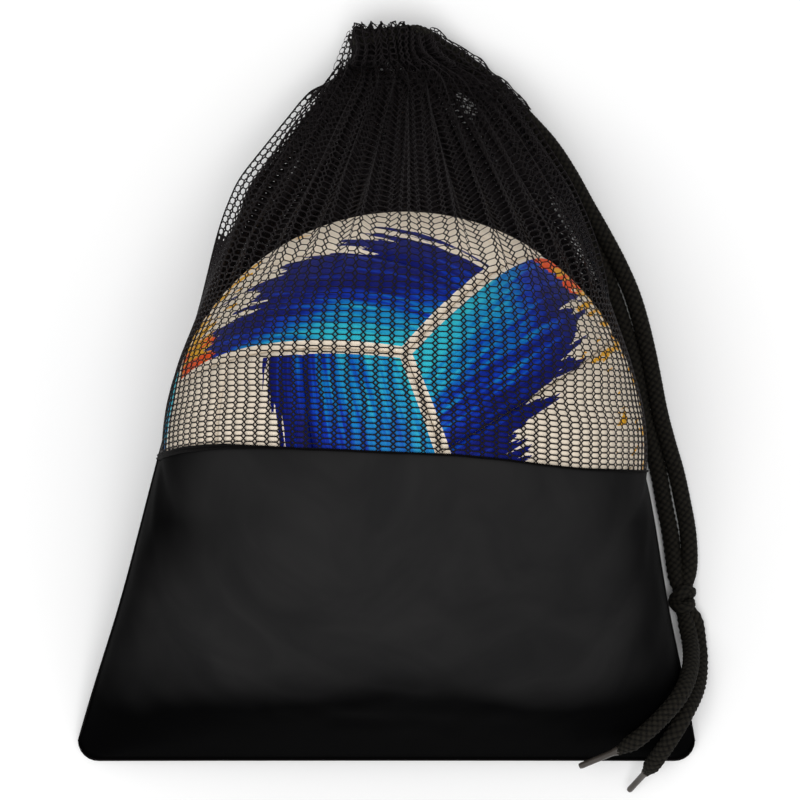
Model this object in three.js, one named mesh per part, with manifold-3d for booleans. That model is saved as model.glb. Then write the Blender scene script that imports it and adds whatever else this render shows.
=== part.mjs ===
// A volleyball packed in its own drawstring carry bag, lying on its back on a flat surface.
// Units are millimetres. X runs across the bag, Y from its bottom edge to its mouth, Z up.
// The origin is on the surface, straight below the middle of the ball.
import * as THREE from "three";
import { ConvexHull } from "three/addons/math/ConvexHull.js";
import { mergeVertices } from "three/addons/utils/BufferGeometryUtils.js";
import Module from "manifold-3d";

// Ball
const BALL_DIAMETER = 210;
const PANEL_THICKNESS = 3.2;
const PANEL_GAP = 0.36;
const LINING_THICKNESS = 0.8;
const BLADDER_THICKNESS = 1.0;
const LAYER_GAP = 0.35;
const VALVE_STEM_RADIUS = 4;
const VALVE_CLEARANCE = 0.4;
const VALVE_FLANGE_RADIUS = 9;
const VALVE_FLANGE_THICKNESS = 1.4;
const VALVE_RECESS = 0.4;
const NEEDLE_BORE_RADIUS = 0.9;
const NEEDLE_BORE_DEPTH = 8;
// The way a corner of three panel groups points, and the slope of one seam that leaves it
const CORNER_DIRECTION = new THREE.Vector3(0, 0.404, 0.915);
const CORNER_SEAM_ANGLE = 171;

// Bag: each slack is how far the ball's side is from an edge of the bag.
// The bottom edge arches from one low corner to the other, and the cloth lies flat under the ball.
const CLOTH_THICKNESS = 1.2;
const CLOTH_CLEARANCE = 0.4;
const BOTTOM_SLACK = 35;
const LEFT_SLACK = 45;
const RIGHT_SLACK = 28.5;
const BASE_CORNER_RADIUS = 11;
const EDGE_RISE = 28;
const EDGE_CORNER_HEIGHT = 8;
const UNDERSIDE_LIFT = 28;
const UNDERSIDE_INSET = 40;
const EDGE_TURN = 14;
const REST_RADIUS = 32;
const WAIST_FRONT = 0;
const WAIST_BACK = 34;
const WAIST_BAND_WIDTH = 5;
const SHOULDER_SLACK = 14;
const SHOULDER_LEFT = 75;
const SHOULDER_RIGHT = 74;
const SHOULDER_HEIGHT = 108;
const NECK_SLACK = 70;
const NECK_RADIUS = 20.5;
const NECK_OFFSET = -6;
const NECK_OVERRUN = 1;
// The net flares out to the right over the cords, just below the neck
const FLARE_REACH = 44;
const FLARE_DROP = 9;
const FLARE_HEIGHT = 30;
const SEAM_WIDTH = 3;
const SEAM_GAP = 0.35;
// Where the line that the cross-sections are drawn round leaves the ball's middle, and where it ends
const MIDDLE_LEVEL = 20;
const MIDDLE_END_HEIGHT = 12;

// Mouth hem and drawcord, with openings as angles to each side of the bag's right
const HEM_HEIGHT = 21;
const HEM_WALL = 1;
const HEM_OPENING = 46;
const CORD_LOOP_OPENING = 40;
const CORD_DIAMETER = 7.4;
const CORD_CLEARANCE = 0.8;
const CORD_LOOP_RISE = 8.4;
const CORD_END_GAP = 0.3;
const KNOT_SIZE = new THREE.Vector3(14, 17, 13);
const TIP_DIAMETER = 2.9;

// Facets: steps along and across a piece, and points on a tight shape
const PANEL_STEPS_LONG = 8;
const PANEL_STEPS_ACROSS = 3;
const LAYER_STEPS = 24;
const HULL_BALL_POINTS = 2400;
const HULL_RING_STEPS = 24;
const CLOTH_STEPS_ROUND = 16;
const BASE_STEPS = 10;
const NET_STEPS = 11;
const BOTTOM_SEAM_STEPS = 18;
const HEM_STEPS = 12;
const HEM_SIDES = 10;
const KNOT_STEPS = 16;
const CORD_SIDES = 8;
const CORD_STEP_DIAMETERS = 2.5;
const CORD_LOOP_STEP_DIAMETERS = 0.5;
const CORD_LOOP_POINTS = 24;
const MERGE_DISTANCE = 1e-4;

// Finishes
const COVER = [
  { color: 0x0a2a9a, roughness: 0.45 },
  { color: 0xdecdbe, roughness: 0.45 },
  { color: 0x0a78c8, roughness: 0.45 },
];
const LINING = { color: 0xb9b2a4, roughness: 0.9 };
const BLADDER = { color: 0x1b1b1b, roughness: 0.6 };
const VALVE = { color: 0x151515, roughness: 0.6 };
const VINYL = { color: 0x080808, roughness: 0.3 };
const TAPE = { color: 0x120d10, roughness: 0.8 };
const NET = { color: 0x1a1216, roughness: 0.85 };
const CORD = { color: 0x15130f, roughness: 0.9 };
const TIP = { color: 0x4a4440, roughness: 0.4 };

const ballRadius = BALL_DIAMETER / 2;
const panelInside = ballRadius - PANEL_THICKNESS;
const ballHeight = CLOTH_THICKNESS + CLOTH_CLEARANCE + ballRadius;
const baseReach = ballRadius + BOTTOM_SLACK;
const baseLeft = ballRadius + LEFT_SLACK;
const baseRight = ballRadius + RIGHT_SLACK;
const shoulderReach = ballRadius + SHOULDER_SLACK;
const neckReach = ballRadius + NECK_SLACK;
const neckHeight = NECK_RADIUS;
const hemRadius = NECK_RADIUS - HEM_WALL - CORD_CLEARANCE - CORD_DIAMETER / 2;
const hemMiddle = neckReach + SEAM_GAP + HEM_HEIGHT / 2;

const { degToRad, lerp, clamp } = THREE.MathUtils;
const wasm = await Module();
wasm.setup();

const part = new THREE.Group();
const ball = new THREE.Group();
ball.position.set(0, 0, ballHeight);
part.add(ball);

function addMesh(group, name, geometry, finish) {
  const mesh = new THREE.Mesh(geometry, new THREE.MeshStandardMaterial({ ...finish, metalness: 0 }));
  mesh.name = name;
  group.add(mesh);
}

// A list made from the shares 0 to 1 in equal steps
function range(steps, make) {
  return Array.from({ length: steps + 1 }, (_, i) => make(i / steps, i));
}

// How far a flat facet dips below a round surface
function facetDip(radius, stepDegrees) {
  return radius * (1 - Math.cos(degToRad(stepDegrees / 2)));
}

// A geometry with only its positions, shared corners merged and its faces turned outwards
function closed(geometry) {
  geometry.deleteAttribute("normal");
  geometry.deleteAttribute("uv");
  const merged = mergeVertices(geometry, MERGE_DISTANCE);
  const position = merged.getAttribute("position");
  const index = merged.index.array;
  const [a, b, c] = [new THREE.Vector3(), new THREE.Vector3(), new THREE.Vector3()];
  let volume = 0;
  for (let i = 0; i < index.length; i += 3) {
    a.fromBufferAttribute(position, index[i]);
    b.fromBufferAttribute(position, index[i + 1]);
    c.fromBufferAttribute(position, index[i + 2]);
    volume += a.dot(b.cross(c));
  }
  for (let i = 0; i < index.length && volume < 0; i += 3) {
    [index[i + 1], index[i + 2]] = [index[i + 2], index[i + 1]];
  }
  merged.computeVertexNormals();
  return merged;
}

// A sheet with two faces, each a grid of points, closed along its edges.
// In a looped sheet each row comes back to its own start, so only the two end rows are closed.
function sheetSolid(outer, inner, looped = false) {
  const rows = outer.length;
  const columns = outer[0].length;
  const lastRow = rows - 1;
  const lastColumn = columns - 1;
  const points = [...outer.flat(), ...inner.flat()];
  const at = (face, i, j) => face * rows * columns + i * columns + (j % columns);
  const index = [];
  const quad = (a, b, c, d) => index.push(a, b, c, a, c, d);
  for (let j = 0; j < (looped ? columns : lastColumn); j++) {
    for (let i = 0; i < lastRow; i++) {
      quad(at(0, i, j), at(0, i, j + 1), at(0, i + 1, j + 1), at(0, i + 1, j));
      quad(at(1, i, j), at(1, i + 1, j), at(1, i + 1, j + 1), at(1, i, j + 1));
    }
    quad(at(0, 0, j), at(1, 0, j), at(1, 0, j + 1), at(0, 0, j + 1));
    quad(at(0, lastRow, j), at(0, lastRow, j + 1), at(1, lastRow, j + 1), at(1, lastRow, j));
  }
  for (let i = 0; i < lastRow && !looped; i++) {
    quad(at(0, i, 0), at(0, i + 1, 0), at(1, i + 1, 0), at(1, i, 0));
    quad(at(0, i, lastColumn), at(1, i, lastColumn), at(1, i + 1, lastColumn), at(0, i + 1, lastColumn));
  }
  const geometry = new THREE.BufferGeometry().setFromPoints(points);
  geometry.setIndex(index);
  return closed(geometry);
}

// A round tube along a curve
function tubeGeometry(path, radius, steps) {
  const corners = range(CORD_SIDES, (u) => {
    const angle = 2 * Math.PI * u;
    return new THREE.Vector2(radius * Math.cos(angle), radius * Math.sin(angle));
  });
  const section = new THREE.Shape(corners.slice(0, CORD_SIDES));
  return closed(new THREE.ExtrudeGeometry(section, { extrudePath: path, steps }));
}

function solidOf(geometry) {
  const vertProperties = geometry.getAttribute("position").array;
  const triVerts = new Uint32Array(geometry.index.array);
  return new wasm.Manifold(new wasm.Mesh({ numProp: 3, vertProperties, triVerts }));
}

function cutAway(geometry, cutter) {
  const { vertProperties, triVerts } = solidOf(geometry).subtract(solidOf(cutter)).getMesh();
  const result = new THREE.BufferGeometry();
  result.setAttribute("position", new THREE.BufferAttribute(vertProperties, 3));
  result.setIndex(new THREE.BufferAttribute(triVerts, 1));
  return closed(result);
}

// Ball cover: each face of a cube carries three strips, and the strips of neighbouring faces cross
function axis(number, sign = 1) {
  const direction = new THREE.Vector3();
  return direction.setComponent(number % 3, sign);
}

function panelGeometry(normal, along, across, strip) {
  const trim = PANEL_GAP / 2 / panelInside;
  const from = degToRad(-45 + 30 * strip) + trim;
  const to = degToRad(-15 + 30 * strip) - trim;
  const end = degToRad(45) - trim;
  const face = (radius) =>
    range(PANEL_STEPS_LONG, (u) =>
      range(PANEL_STEPS_ACROSS, (v) =>
        normal
          .clone()
          .addScaledVector(along, Math.tan(lerp(-end, end, u)))
          .addScaledVector(across, Math.tan(lerp(from, to, v)))
          .setLength(radius),
      ),
    );
  return sheetSolid(face(ballRadius), face(panelInside));
}

// The valve stands in the middle of a panel
const valveAxis = axis(1, -1);
const toValve = new THREE.Quaternion().setFromUnitVectors(axis(1), valveAxis);
const valveHoleRadius = VALVE_STEM_RADIUS + VALVE_CLEARANCE;

function valveHole() {
  const through = 4 * PANEL_THICKNESS;
  const hole = new THREE.CylinderGeometry(valveHoleRadius, valveHoleRadius, through, LAYER_STEPS);
  hole.translate(0, ballRadius, 0);
  return closed(hole.applyQuaternion(toValve));
}

function addPanels() {
  for (let k = 0; k < 3; k++) {
    for (const sign of [1, -1]) {
      for (let strip = 0; strip < 3; strip++) {
        const normal = axis(k, sign);
        let geometry = panelGeometry(normal, axis(k + 2), axis(k + 1), strip);
        if (normal.equals(valveAxis) && strip === 1) geometry = cutAway(geometry, valveHole());
        const face = "xyz"[k] + (sign > 0 ? "1" : "2");
        addMesh(ball, `panel_${face}_${strip + 1}`, geometry, COVER[strip]);
      }
    }
  }
}

// A round shell about the ball's middle, open where the valve passes through it
function layerGeometry(outside, thickness) {
  const arc = (radius) =>
    range(LAYER_STEPS / 2, (u) => {
      const angle = lerp(Math.PI, Math.asin(valveHoleRadius / radius), u);
      return new THREE.Vector2(u > 0 ? radius * Math.sin(angle) : 0, radius * Math.cos(angle));
    });
  const profile = [...arc(outside), ...arc(outside - thickness).reverse()];
  return closed(new THREE.LatheGeometry(profile, LAYER_STEPS).applyQuaternion(toValve));
}

const panelDipLong = facetDip(panelInside, 90 / PANEL_STEPS_LONG);
const panelDipAcross = facetDip(panelInside, 30 / PANEL_STEPS_ACROSS);
const liningOutside = panelInside - panelDipLong - panelDipAcross - LAYER_GAP;
const bladderOutside = liningOutside - LINING_THICKNESS - LAYER_GAP;
const bladderInside = bladderOutside - BLADDER_THICKNESS;

function addLayers() {
  addMesh(ball, "lining", layerGeometry(liningOutside, LINING_THICKNESS), LINING);
  addMesh(ball, "bladder", layerGeometry(bladderOutside, BLADDER_THICKNESS), BLADDER);
}

// The valve: a stem up through the cover, on a flange inside the bladder, with a bore for a needle
function addValve() {
  const flangeAngle = Math.asin(VALVE_FLANGE_RADIUS / bladderInside);
  const flangeDip = facetDip(bladderInside, 360 / LAYER_STEPS);
  const flangeTop = bladderInside * Math.cos(flangeAngle) - flangeDip - LAYER_GAP;
  const top = ballRadius - VALVE_RECESS;
  const profile = [
    new THREE.Vector2(0, flangeTop - VALVE_FLANGE_THICKNESS),
    new THREE.Vector2(VALVE_FLANGE_RADIUS, flangeTop - VALVE_FLANGE_THICKNESS),
    new THREE.Vector2(VALVE_FLANGE_RADIUS, flangeTop),
    new THREE.Vector2(VALVE_STEM_RADIUS, flangeTop),
    new THREE.Vector2(VALVE_STEM_RADIUS, top),
    new THREE.Vector2(NEEDLE_BORE_RADIUS, top),
    new THREE.Vector2(NEEDLE_BORE_RADIUS, top - NEEDLE_BORE_DEPTH),
    new THREE.Vector2(0, top - NEEDLE_BORE_DEPTH),
  ];
  const geometry = new THREE.LatheGeometry(profile, LAYER_STEPS).applyQuaternion(toValve);
  addMesh(ball, "valve", closed(geometry), VALVE);
}

// The ball is turned so that a corner of the cube shows near the top
function turnBall() {
  const corner = new THREE.Vector3(1, 1, 1).normalize();
  const seam = axis(0, -1).addScaledVector(corner, 1 / Math.sqrt(3)).normalize();
  const own = new THREE.Matrix4().makeBasis(seam, corner.clone().cross(seam), corner);
  const shown = CORNER_DIRECTION.clone().normalize();
  const right = axis(0);
  const up = shown.clone().cross(right);
  const angle = degToRad(CORNER_SEAM_ANGLE);
  const shownSeam = right.multiplyScalar(Math.cos(angle)).addScaledVector(up, Math.sin(angle));
  const placed = new THREE.Matrix4().makeBasis(shownSeam, shown.clone().cross(shownSeam), shown);
  ball.setRotationFromMatrix(placed.multiply(own.transpose()));
}

// A point of the bag's bottom edge, from its left end (0) to its right end (1)
function bottomEdge(share, grow = 0) {
  const x = lerp(-baseLeft - grow, baseRight + grow, share);
  const toEnd = Math.min(share, 1 - share) * (baseLeft + baseRight);
  const turn = clamp(BASE_CORNER_RADIUS - toEnd, 0, BASE_CORNER_RADIUS);
  const inset = BASE_CORNER_RADIUS - Math.sqrt(BASE_CORNER_RADIUS ** 2 - turn ** 2);
  const rise = EDGE_RISE * (1 - (2 * share - 1) ** 2);
  return new THREE.Vector3(x, inset - baseReach - grow, EDGE_CORNER_HEIGHT + rise + grow);
}

// Points spread evenly over a sphere on a spiral
function spherePoints(radius, count) {
  const turn = Math.PI * (3 - Math.sqrt(5));
  return range(count, (u, i) => {
    const z = 1 - 2 * u;
    const side = Math.sqrt(1 - z * z);
    const point = new THREE.Vector3(side * Math.cos(turn * i), side * Math.sin(turn * i), z);
    return point.multiplyScalar(radius);
  });
}

// Cloth drawn tight over the ball, the bottom edge, two shoulders and a gathered neck.
// This is the shape of the bag's inner face, or of a face that lies further out by grow.
function bagHull(grow) {
  const floor = CLOTH_THICKNESS - grow;
  const clothDip = 2 * facetDip(ballRadius, 180 / CLOTH_STEPS_ROUND);
  const roundBall = ballRadius + CLOTH_CLEARANCE + clothDip + grow;
  const points = spherePoints(roundBall, HULL_BALL_POINTS).map((p) => p.add(ball.position));
  const shoulderMiddle = CLOTH_THICKNESS + SHOULDER_HEIGHT / 2;
  const shoulderRise = SHOULDER_HEIGHT / 2 + grow;
  const neck = NECK_RADIUS - CLOTH_THICKNESS + grow;
  for (const share of range(HULL_RING_STEPS, (u) => u)) {
    const edge = bottomEdge(share, grow);
    const inset = clamp(edge.x, UNDERSIDE_INSET - baseLeft, baseRight - UNDERSIDE_INSET);
    const cos = Math.cos(2 * Math.PI * share);
    const sin = Math.sin(2 * Math.PI * share);
    const wide = (cos < 0 ? SHOULDER_LEFT : SHOULDER_RIGHT) + grow;
    points.push(
      edge,
      new THREE.Vector3(inset, UNDERSIDE_LIFT - baseReach, floor),
      new THREE.Vector3(REST_RADIUS * cos, REST_RADIUS * sin, floor),
      new THREE.Vector3(wide * cos, shoulderReach, shoulderMiddle + shoulderRise * sin),
      new THREE.Vector3(NECK_OFFSET + neck * cos, neckReach + NECK_OVERRUN, neckHeight + neck * sin),
    );
  }
  points.push(new THREE.Vector3(FLARE_REACH + grow, neckReach - FLARE_DROP, FLARE_HEIGHT));
  for (const point of points) point.z = Math.max(point.z, floor);
  return new ConvexHull().setFromPoints(points);
}

const innerHull = bagHull(0);
const outerHull = bagHull(CLOTH_THICKNESS);

// The line through the middle of the bag that its cross-sections are drawn round
function sectionMiddle(y) {
  const corner = BASE_CORNER_RADIUS - baseReach;
  const bottom = new THREE.Vector3((baseRight - baseLeft) / 2, corner, MIDDLE_END_HEIGHT);
  const neck = new THREE.Vector3(NECK_OFFSET, neckReach, neckHeight);
  const end = y < MIDDLE_LEVEL ? bottom : neck;
  const share = clamp((y - MIDDLE_LEVEL) / (end.y - MIDDLE_LEVEL), 0, 1);
  return ball.position.clone().lerp(end, share).setY(y);
}

function clothPoint(hull, y, angle) {
  const direction = new THREE.Vector3(Math.cos(angle), 0, Math.sin(angle));
  return hull.intersectRay(new THREE.Ray(sectionMiddle(y), direction), new THREE.Vector3());
}

// The angle that a width along the cloth takes up at a side seam
function seamAngle(y, side, width) {
  return width / clothPoint(outerHull, y, side).distanceTo(sectionMiddle(y));
}

// How far up the bag the waist lies, at an angle round the bag
function waist(angle) {
  const low = clamp(-Math.sin(angle), 0, 1);
  return lerp(WAIST_FRONT, WAIST_BACK, low * low);
}

const bandStart = (angle) => waist(angle) + SEAM_GAP;
const bandEnd = (angle) => waist(angle) + WAIST_BAND_WIDTH;
const netStart = (angle) => bandEnd(angle) + SEAM_GAP;
const netEnd = () => neckReach;
const baseStart = () => EDGE_TURN - baseReach;

// A piece of cloth on the front (the upper half of each section) or the back
function clothGrid(hull, isFront, steps, startAt, endAt) {
  const first = isFront ? 0 : Math.PI;
  const edge = SEAM_WIDTH / 2 + SEAM_GAP;
  return range(steps, (v) =>
    range(CLOTH_STEPS_ROUND, (u) => {
      const roughAngle = first + Math.PI * u;
      const y = lerp(startAt(roughAngle), endAt(roughAngle), v);
      const from = first + seamAngle(y, first, edge);
      const to = first + Math.PI - seamAngle(y, first + Math.PI, edge);
      return clothPoint(hull, y, lerp(from, to, u));
    }),
  );
}

function addCloth(name, isFront, steps, startAt, endAt, finish) {
  const outer = clothGrid(outerHull, isFront, steps, startAt, endAt);
  const inner = clothGrid(innerHull, isFront, steps, startAt, endAt);
  addMesh(part, name, sheetSolid(outer, inner), finish);
}

// The row of points where a base panel ends, above or below the bottom edge
function edgeRow(isFront, grow) {
  const side = isFront ? 1 : -1;
  return range(CLOTH_STEPS_ROUND, (u) => {
    const edge = bottomEdge((1 + side * Math.cos(Math.PI * u)) / 2);
    edge.z += side * (SEAM_WIDTH / 2 + SEAM_GAP + grow);
    return edge;
  });
}

// A base panel runs from the bottom edge to the waist
function addBase(name, isFront) {
  const face = (hull, grow) => {
    const grid = clothGrid(hull, isFront, BASE_STEPS, baseStart, waist);
    return [edgeRow(isFront, grow), ...grid];
  };
  addMesh(part, name, sheetSolid(face(outerHull, CLOTH_THICKNESS), face(innerHull, 0)), VINYL);
}

function addCloths() {
  addBase("base_front", true);
  addBase("base_back", false);
  addCloth("waist_seam_front", true, 1, bandStart, bandEnd, TAPE);
  addCloth("waist_seam_back", false, 1, bandStart, bandEnd, TAPE);
  addCloth("net_front", true, NET_STEPS, netStart, netEnd, NET);
  addCloth("net_back", false, NET_STEPS, netStart, netEnd, NET);
}

// The seams down the two sides join the front and back from the bottom corners to the neck
function addSideSeam(name, side) {
  const stations = [
    ...range(BASE_STEPS, (v) => lerp(baseStart(), waist(side), v)),
    ...range(NET_STEPS, (v) => lerp(netStart(side), netEnd(), v)),
  ];
  const face = (hull) =>
    stations.map((y) => {
      const half = seamAngle(y, side, SEAM_WIDTH / 2);
      return range(2, (u) => clothPoint(hull, y, side + lerp(-half, half, u)));
    });
  addMesh(part, name, sheetSolid(face(outerHull), face(innerHull)), TAPE);
}

// A round bead along the bottom edge
function addBottomSeam() {
  const inset = BASE_CORNER_RADIUS / (baseLeft + baseRight);
  const points = range(BOTTOM_SEAM_STEPS, (u) => bottomEdge(lerp(inset, 1 - inset, u)));
  const path = new THREE.CatmullRomCurve3(points);
  addMesh(part, "bottom_seam", tubeGeometry(path, SEAM_WIDTH / 2, BOTTOM_SEAM_STEPS), TAPE);
}

// The mouth's hem: a tunnel of folded net, in two halves that leave a gap on the right for the cord
function addHem(name, isFront) {
  const seamAt = SEAM_GAP / hemRadius;
  const from = isFront ? degToRad(HEM_OPENING) : Math.PI + seamAt;
  const to = isFront ? Math.PI - seamAt : degToRad(360 - HEM_OPENING);
  const tunnel = (grow) =>
    range(HEM_STEPS, (v) => {
      const round = lerp(from, to, v);
      return range(HEM_SIDES - 1, (_, i) => {
        const turn = (2 * Math.PI * i) / HEM_SIDES;
        const radius = hemRadius + (CORD_DIAMETER / 2 + CORD_CLEARANCE + grow) * Math.cos(turn);
        const y = hemMiddle + (HEM_HEIGHT / 2 - HEM_WALL + grow) * Math.sin(turn);
        const x = NECK_OFFSET + radius * Math.cos(round);
        return new THREE.Vector3(x, y, neckHeight + radius * Math.sin(round));
      });
    });
  addMesh(part, name, sheetSolid(tunnel(HEM_WALL), tunnel(0), true), NET);
}

// The drawcord's stretch inside the hem, from its upper end (0) to its lower end (1)
function loopPoint(share) {
  const round = degToRad(lerp(CORD_LOOP_OPENING, 360 - CORD_LOOP_OPENING, share));
  const x = NECK_OFFSET + hemRadius * Math.cos(round);
  const y = hemMiddle + lerp(0.5, -0.5, share) * CORD_LOOP_RISE;
  return new THREE.Vector3(x, y, neckHeight + hemRadius * Math.sin(round));
}

// The free stretches of the drawcord, as points that the cord lies along
const outerRoute = [
  [19, 187.3, 19], [30.2, 180.2, 12], [42.8, 167.9, 6], [55.8, 154.3, 4.2], [67.2, 140.7, 4.2],
  [76.2, 127.2, 4.2], [83.9, 113.3, 4.2], [91.8, 99.4, 4.2], [98.9, 86, 4.2], [105, 72.2, 4.2],
  [109.2, 58.7, 4.2], [112.5, 45, 4.2], [115.2, 31.6, 4.2], [118, 17.1, 4.2], [121.6, 3.3, 4.2],
  [125.6, -10.6, 4.2], [128.8, -24.4, 4.2], [132.2, -38.2, 5], [133.6, -52, 6.5], [133.7, -60.6, 8],
];
const innerRoute = [
  [18.5, 178.7, 15.5], [27.8, 171, 9.5], [37.2, 162, 5.5], [49.8, 149.1, 4.2], [60.8, 135.9, 4.2],
  [69.3, 123.3, 4.2], [77, 109.3, 4.2], [84.9, 95.5, 4.2], [91.6, 82.9, 4.2], [97.2, 69.4, 4.2],
  [101.3, 56.7, 4.2], [104.8, 43.2, 4.2], [107.2, 30.7, 4.2], [110.1, 15.1, 4.2], [113.9, 1.5, 4.2],
  [117.4, -12.5, 4.2], [120, -26.2, 4.2], [122.8, -38.5, 5], [125.3, -50.8, 6.5], [126.2, -60.6, 8],
];
const knotMiddle = [130, -69.5, 8.5];
const longTail = [
  [127, -79.7, 9], [129.3, -87, 14.5], [132.3, -93.5, 25], [132, -101.5, 37.5], [126.5, -111, 49],
  [117, -120.5, 54], [106.5, -129.5, 53], [96.5, -136, 47],
];
const shortTail = [
  [134.5, -78.6, 8], [136.9, -89, 8], [138, -100, 10], [137, -111, 19], [130.9, -121.5, 33],
  [122.8, -131.5, 36], [115.6, -141.5, 29], [110.8, -148.2, 18.5],
];
const longTip = [79.6, -143.4, 40];
const shortTip = [103.7, -157.2, 9];

const vectors = (points) => points.map((point) => new THREE.Vector3(...point));

function addCord(name, points, stepDiameters = CORD_STEP_DIAMETERS) {
  const path = new THREE.CatmullRomCurve3(points);
  const steps = Math.ceil(path.getLength() / (stepDiameters * CORD_DIAMETER));
  addMesh(part, name, tubeGeometry(path, CORD_DIAMETER / 2, steps), CORD);
}

// A point on the straight line that leaves the end of a row of points
function pastEnd(last, before, distance) {
  const direction = last.clone().sub(before).normalize();
  return last.clone().addScaledVector(direction, distance);
}

// The free stretch of cord that leaves the end of the loop in the hem, where last comes after before
function leaveLoop(last, before, route) {
  const start = pastEnd(last, before, CORD_END_GAP);
  return [start, pastEnd(last, before, CORD_DIAMETER), ...vectors(route)];
}

function addKnot() {
  const knot = new THREE.SphereGeometry(0.5, KNOT_STEPS, KNOT_STEPS / 2);
  knot.scale(...KNOT_SIZE).translate(...knotMiddle);
  addMesh(part, "drawcord_knot", closed(knot), CORD);
}

// A moulded tip that carries on from the end of a tail
function addTip(name, tail, end) {
  const [before, last] = vectors(tail.slice(-2));
  const start = pastEnd(last, before, CORD_END_GAP);
  const path = new THREE.LineCurve3(start, new THREE.Vector3(...end));
  addMesh(part, name, tubeGeometry(path, TIP_DIAMETER / 2, 1), TIP);
}

function addDrawcord() {
  const loop = range(CORD_LOOP_POINTS, loopPoint);
  addCord("drawcord_in_hem", loop, CORD_LOOP_STEP_DIAMETERS);
  addCord("drawcord_outer", leaveLoop(loop.at(0), loop.at(1), outerRoute));
  addCord("drawcord_inner", leaveLoop(loop.at(-1), loop.at(-2), innerRoute));
  addKnot();
  addCord("drawcord_tail_long", vectors(longTail));
  addCord("drawcord_tail_short", vectors(shortTail));
  addTip("cord_tip_long", longTail, longTip);
  addTip("cord_tip_short", shortTail, shortTip);
}

addPanels();
addLayers();
addValve();
turnBall();
addCloths();
addSideSeam("side_seam_right", 0);
addSideSeam("side_seam_left", Math.PI);
addBottomSeam();
addHem("hem_front", true);
addHem("hem_back", false);
addDrawcord();

export default part;
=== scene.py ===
"""Looks of a volleyball in its drawstring carry bag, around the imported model. Units are metres."""
import math

import bmesh
import bpy
import numpy as np
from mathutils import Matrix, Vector, noise
from mathutils.bvhtree import BVHTree
from numpy.linalg import norm


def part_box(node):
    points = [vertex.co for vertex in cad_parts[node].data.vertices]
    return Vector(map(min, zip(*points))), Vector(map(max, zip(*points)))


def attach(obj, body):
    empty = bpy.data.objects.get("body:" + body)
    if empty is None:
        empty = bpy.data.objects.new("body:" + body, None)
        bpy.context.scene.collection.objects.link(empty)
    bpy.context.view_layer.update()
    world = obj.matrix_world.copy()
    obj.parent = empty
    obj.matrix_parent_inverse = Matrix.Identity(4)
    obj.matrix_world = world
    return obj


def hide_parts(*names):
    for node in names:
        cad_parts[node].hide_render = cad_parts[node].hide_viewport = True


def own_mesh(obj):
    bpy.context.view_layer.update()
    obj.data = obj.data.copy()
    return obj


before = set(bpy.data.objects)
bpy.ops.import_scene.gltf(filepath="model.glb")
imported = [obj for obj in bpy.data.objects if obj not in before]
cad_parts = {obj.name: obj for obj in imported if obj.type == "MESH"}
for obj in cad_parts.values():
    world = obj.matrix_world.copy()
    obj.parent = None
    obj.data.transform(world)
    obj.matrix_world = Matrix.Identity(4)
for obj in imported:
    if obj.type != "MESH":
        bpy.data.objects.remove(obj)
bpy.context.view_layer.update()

# Camera: straight above, aimed at the middle of the picture at the level of the ball's middle
CAMERA_AIM = (-0.002, 0.02275)
CAMERA_DISTANCE = 1.8
VIEW_WIDTH = 0.35
SENSOR_WIDTH = 36.0

# Floor and light
FLOOR_HALF_SIZE = 6.0
FLOOR_DROP = 0.0004
WORLD_STRENGTH = 0.7
SOFTBOX_PLACE = (-0.15, -0.35, 2.4)
SOFTBOX_AIM = (0, 0, 0.1)
SOFTBOX_SIZE = (1.6, 1.4)
SOFTBOX_POWER = 34

# Ball cover
STRIP_ANGLE = math.radians(30)
FACE_ANGLE = math.radians(90)
PANEL_GAP = 0.0005
PANEL_THICKNESS = 0.003
PANEL_EDGE_WIDTH = 0.0032
PANEL_EDGE_DEPTH = 0.0013
PANEL_STEPS = (64, 24)
STEP_EASE = 0.35

# What the bag's cloth is drawn over, besides the ball
CLOTH_LIFT = 0.0014
EDGE_RISE = 0.028
EDGE_CORNER_HEIGHT = 0.008
EDGE_CORNER_RADIUS = 0.009
EDGE_BOW = 0.0026
EDGE_DROP = 0.0006
UNDERSIDE_LIFT = 0.028
UNDERSIDE_INSET = 0.04
REST_RADIUS = 0.032
SHOULDER_REACH = 0.119
SHOULDER_LEFT = 0.0695
SHOULDER_RIGHT = 0.074
SHOULDER_HEIGHT = 0.108
NECK_RADIUS = 0.0205
NECK_X = -0.006
NECK_PAST = 0.001
FLARE_REACH = 0.0445
FLARE_DROP = 0.009
FLARE_HEIGHT = 0.03
HULL_BALL_POINTS = 6000
HULL_RING_POINTS = 49
# Line inside the bag that its sections are drawn round
MIDDLE_LEVEL = 0.02
MIDDLE_END_HEIGHT = 0.012
# How far the sides are drawn in, and a nip at the right end of the waist
SIDE_PULL = 0.0032
SIDE_PULL_LEVELS = (-0.13, -0.06, 0.0, 0.045)
NIP_DEPTH = 0.003
NIP_LEVEL = 0.002
NIP_WIDTH = 0.011

# Waist, where net meets vinyl
WAIST_LEVEL = 0.0004
WAIST_BACK = 0.034
WAIST_TILT = 0.005
WAIST_DIP_LEFT = 0.0092
WAIST_DIP_RIGHT = 0.004
WAIST_DIP_SIDE = (0.15, 0.7)
WAIST_BAND_WIDTH = 0.001
WAIST_GATHER_WIDTH = 0.0028
WAIST_GATHER_SIDE = (0.35, 0.8)
WAIST_WOBBLE = 0.0003

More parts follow.
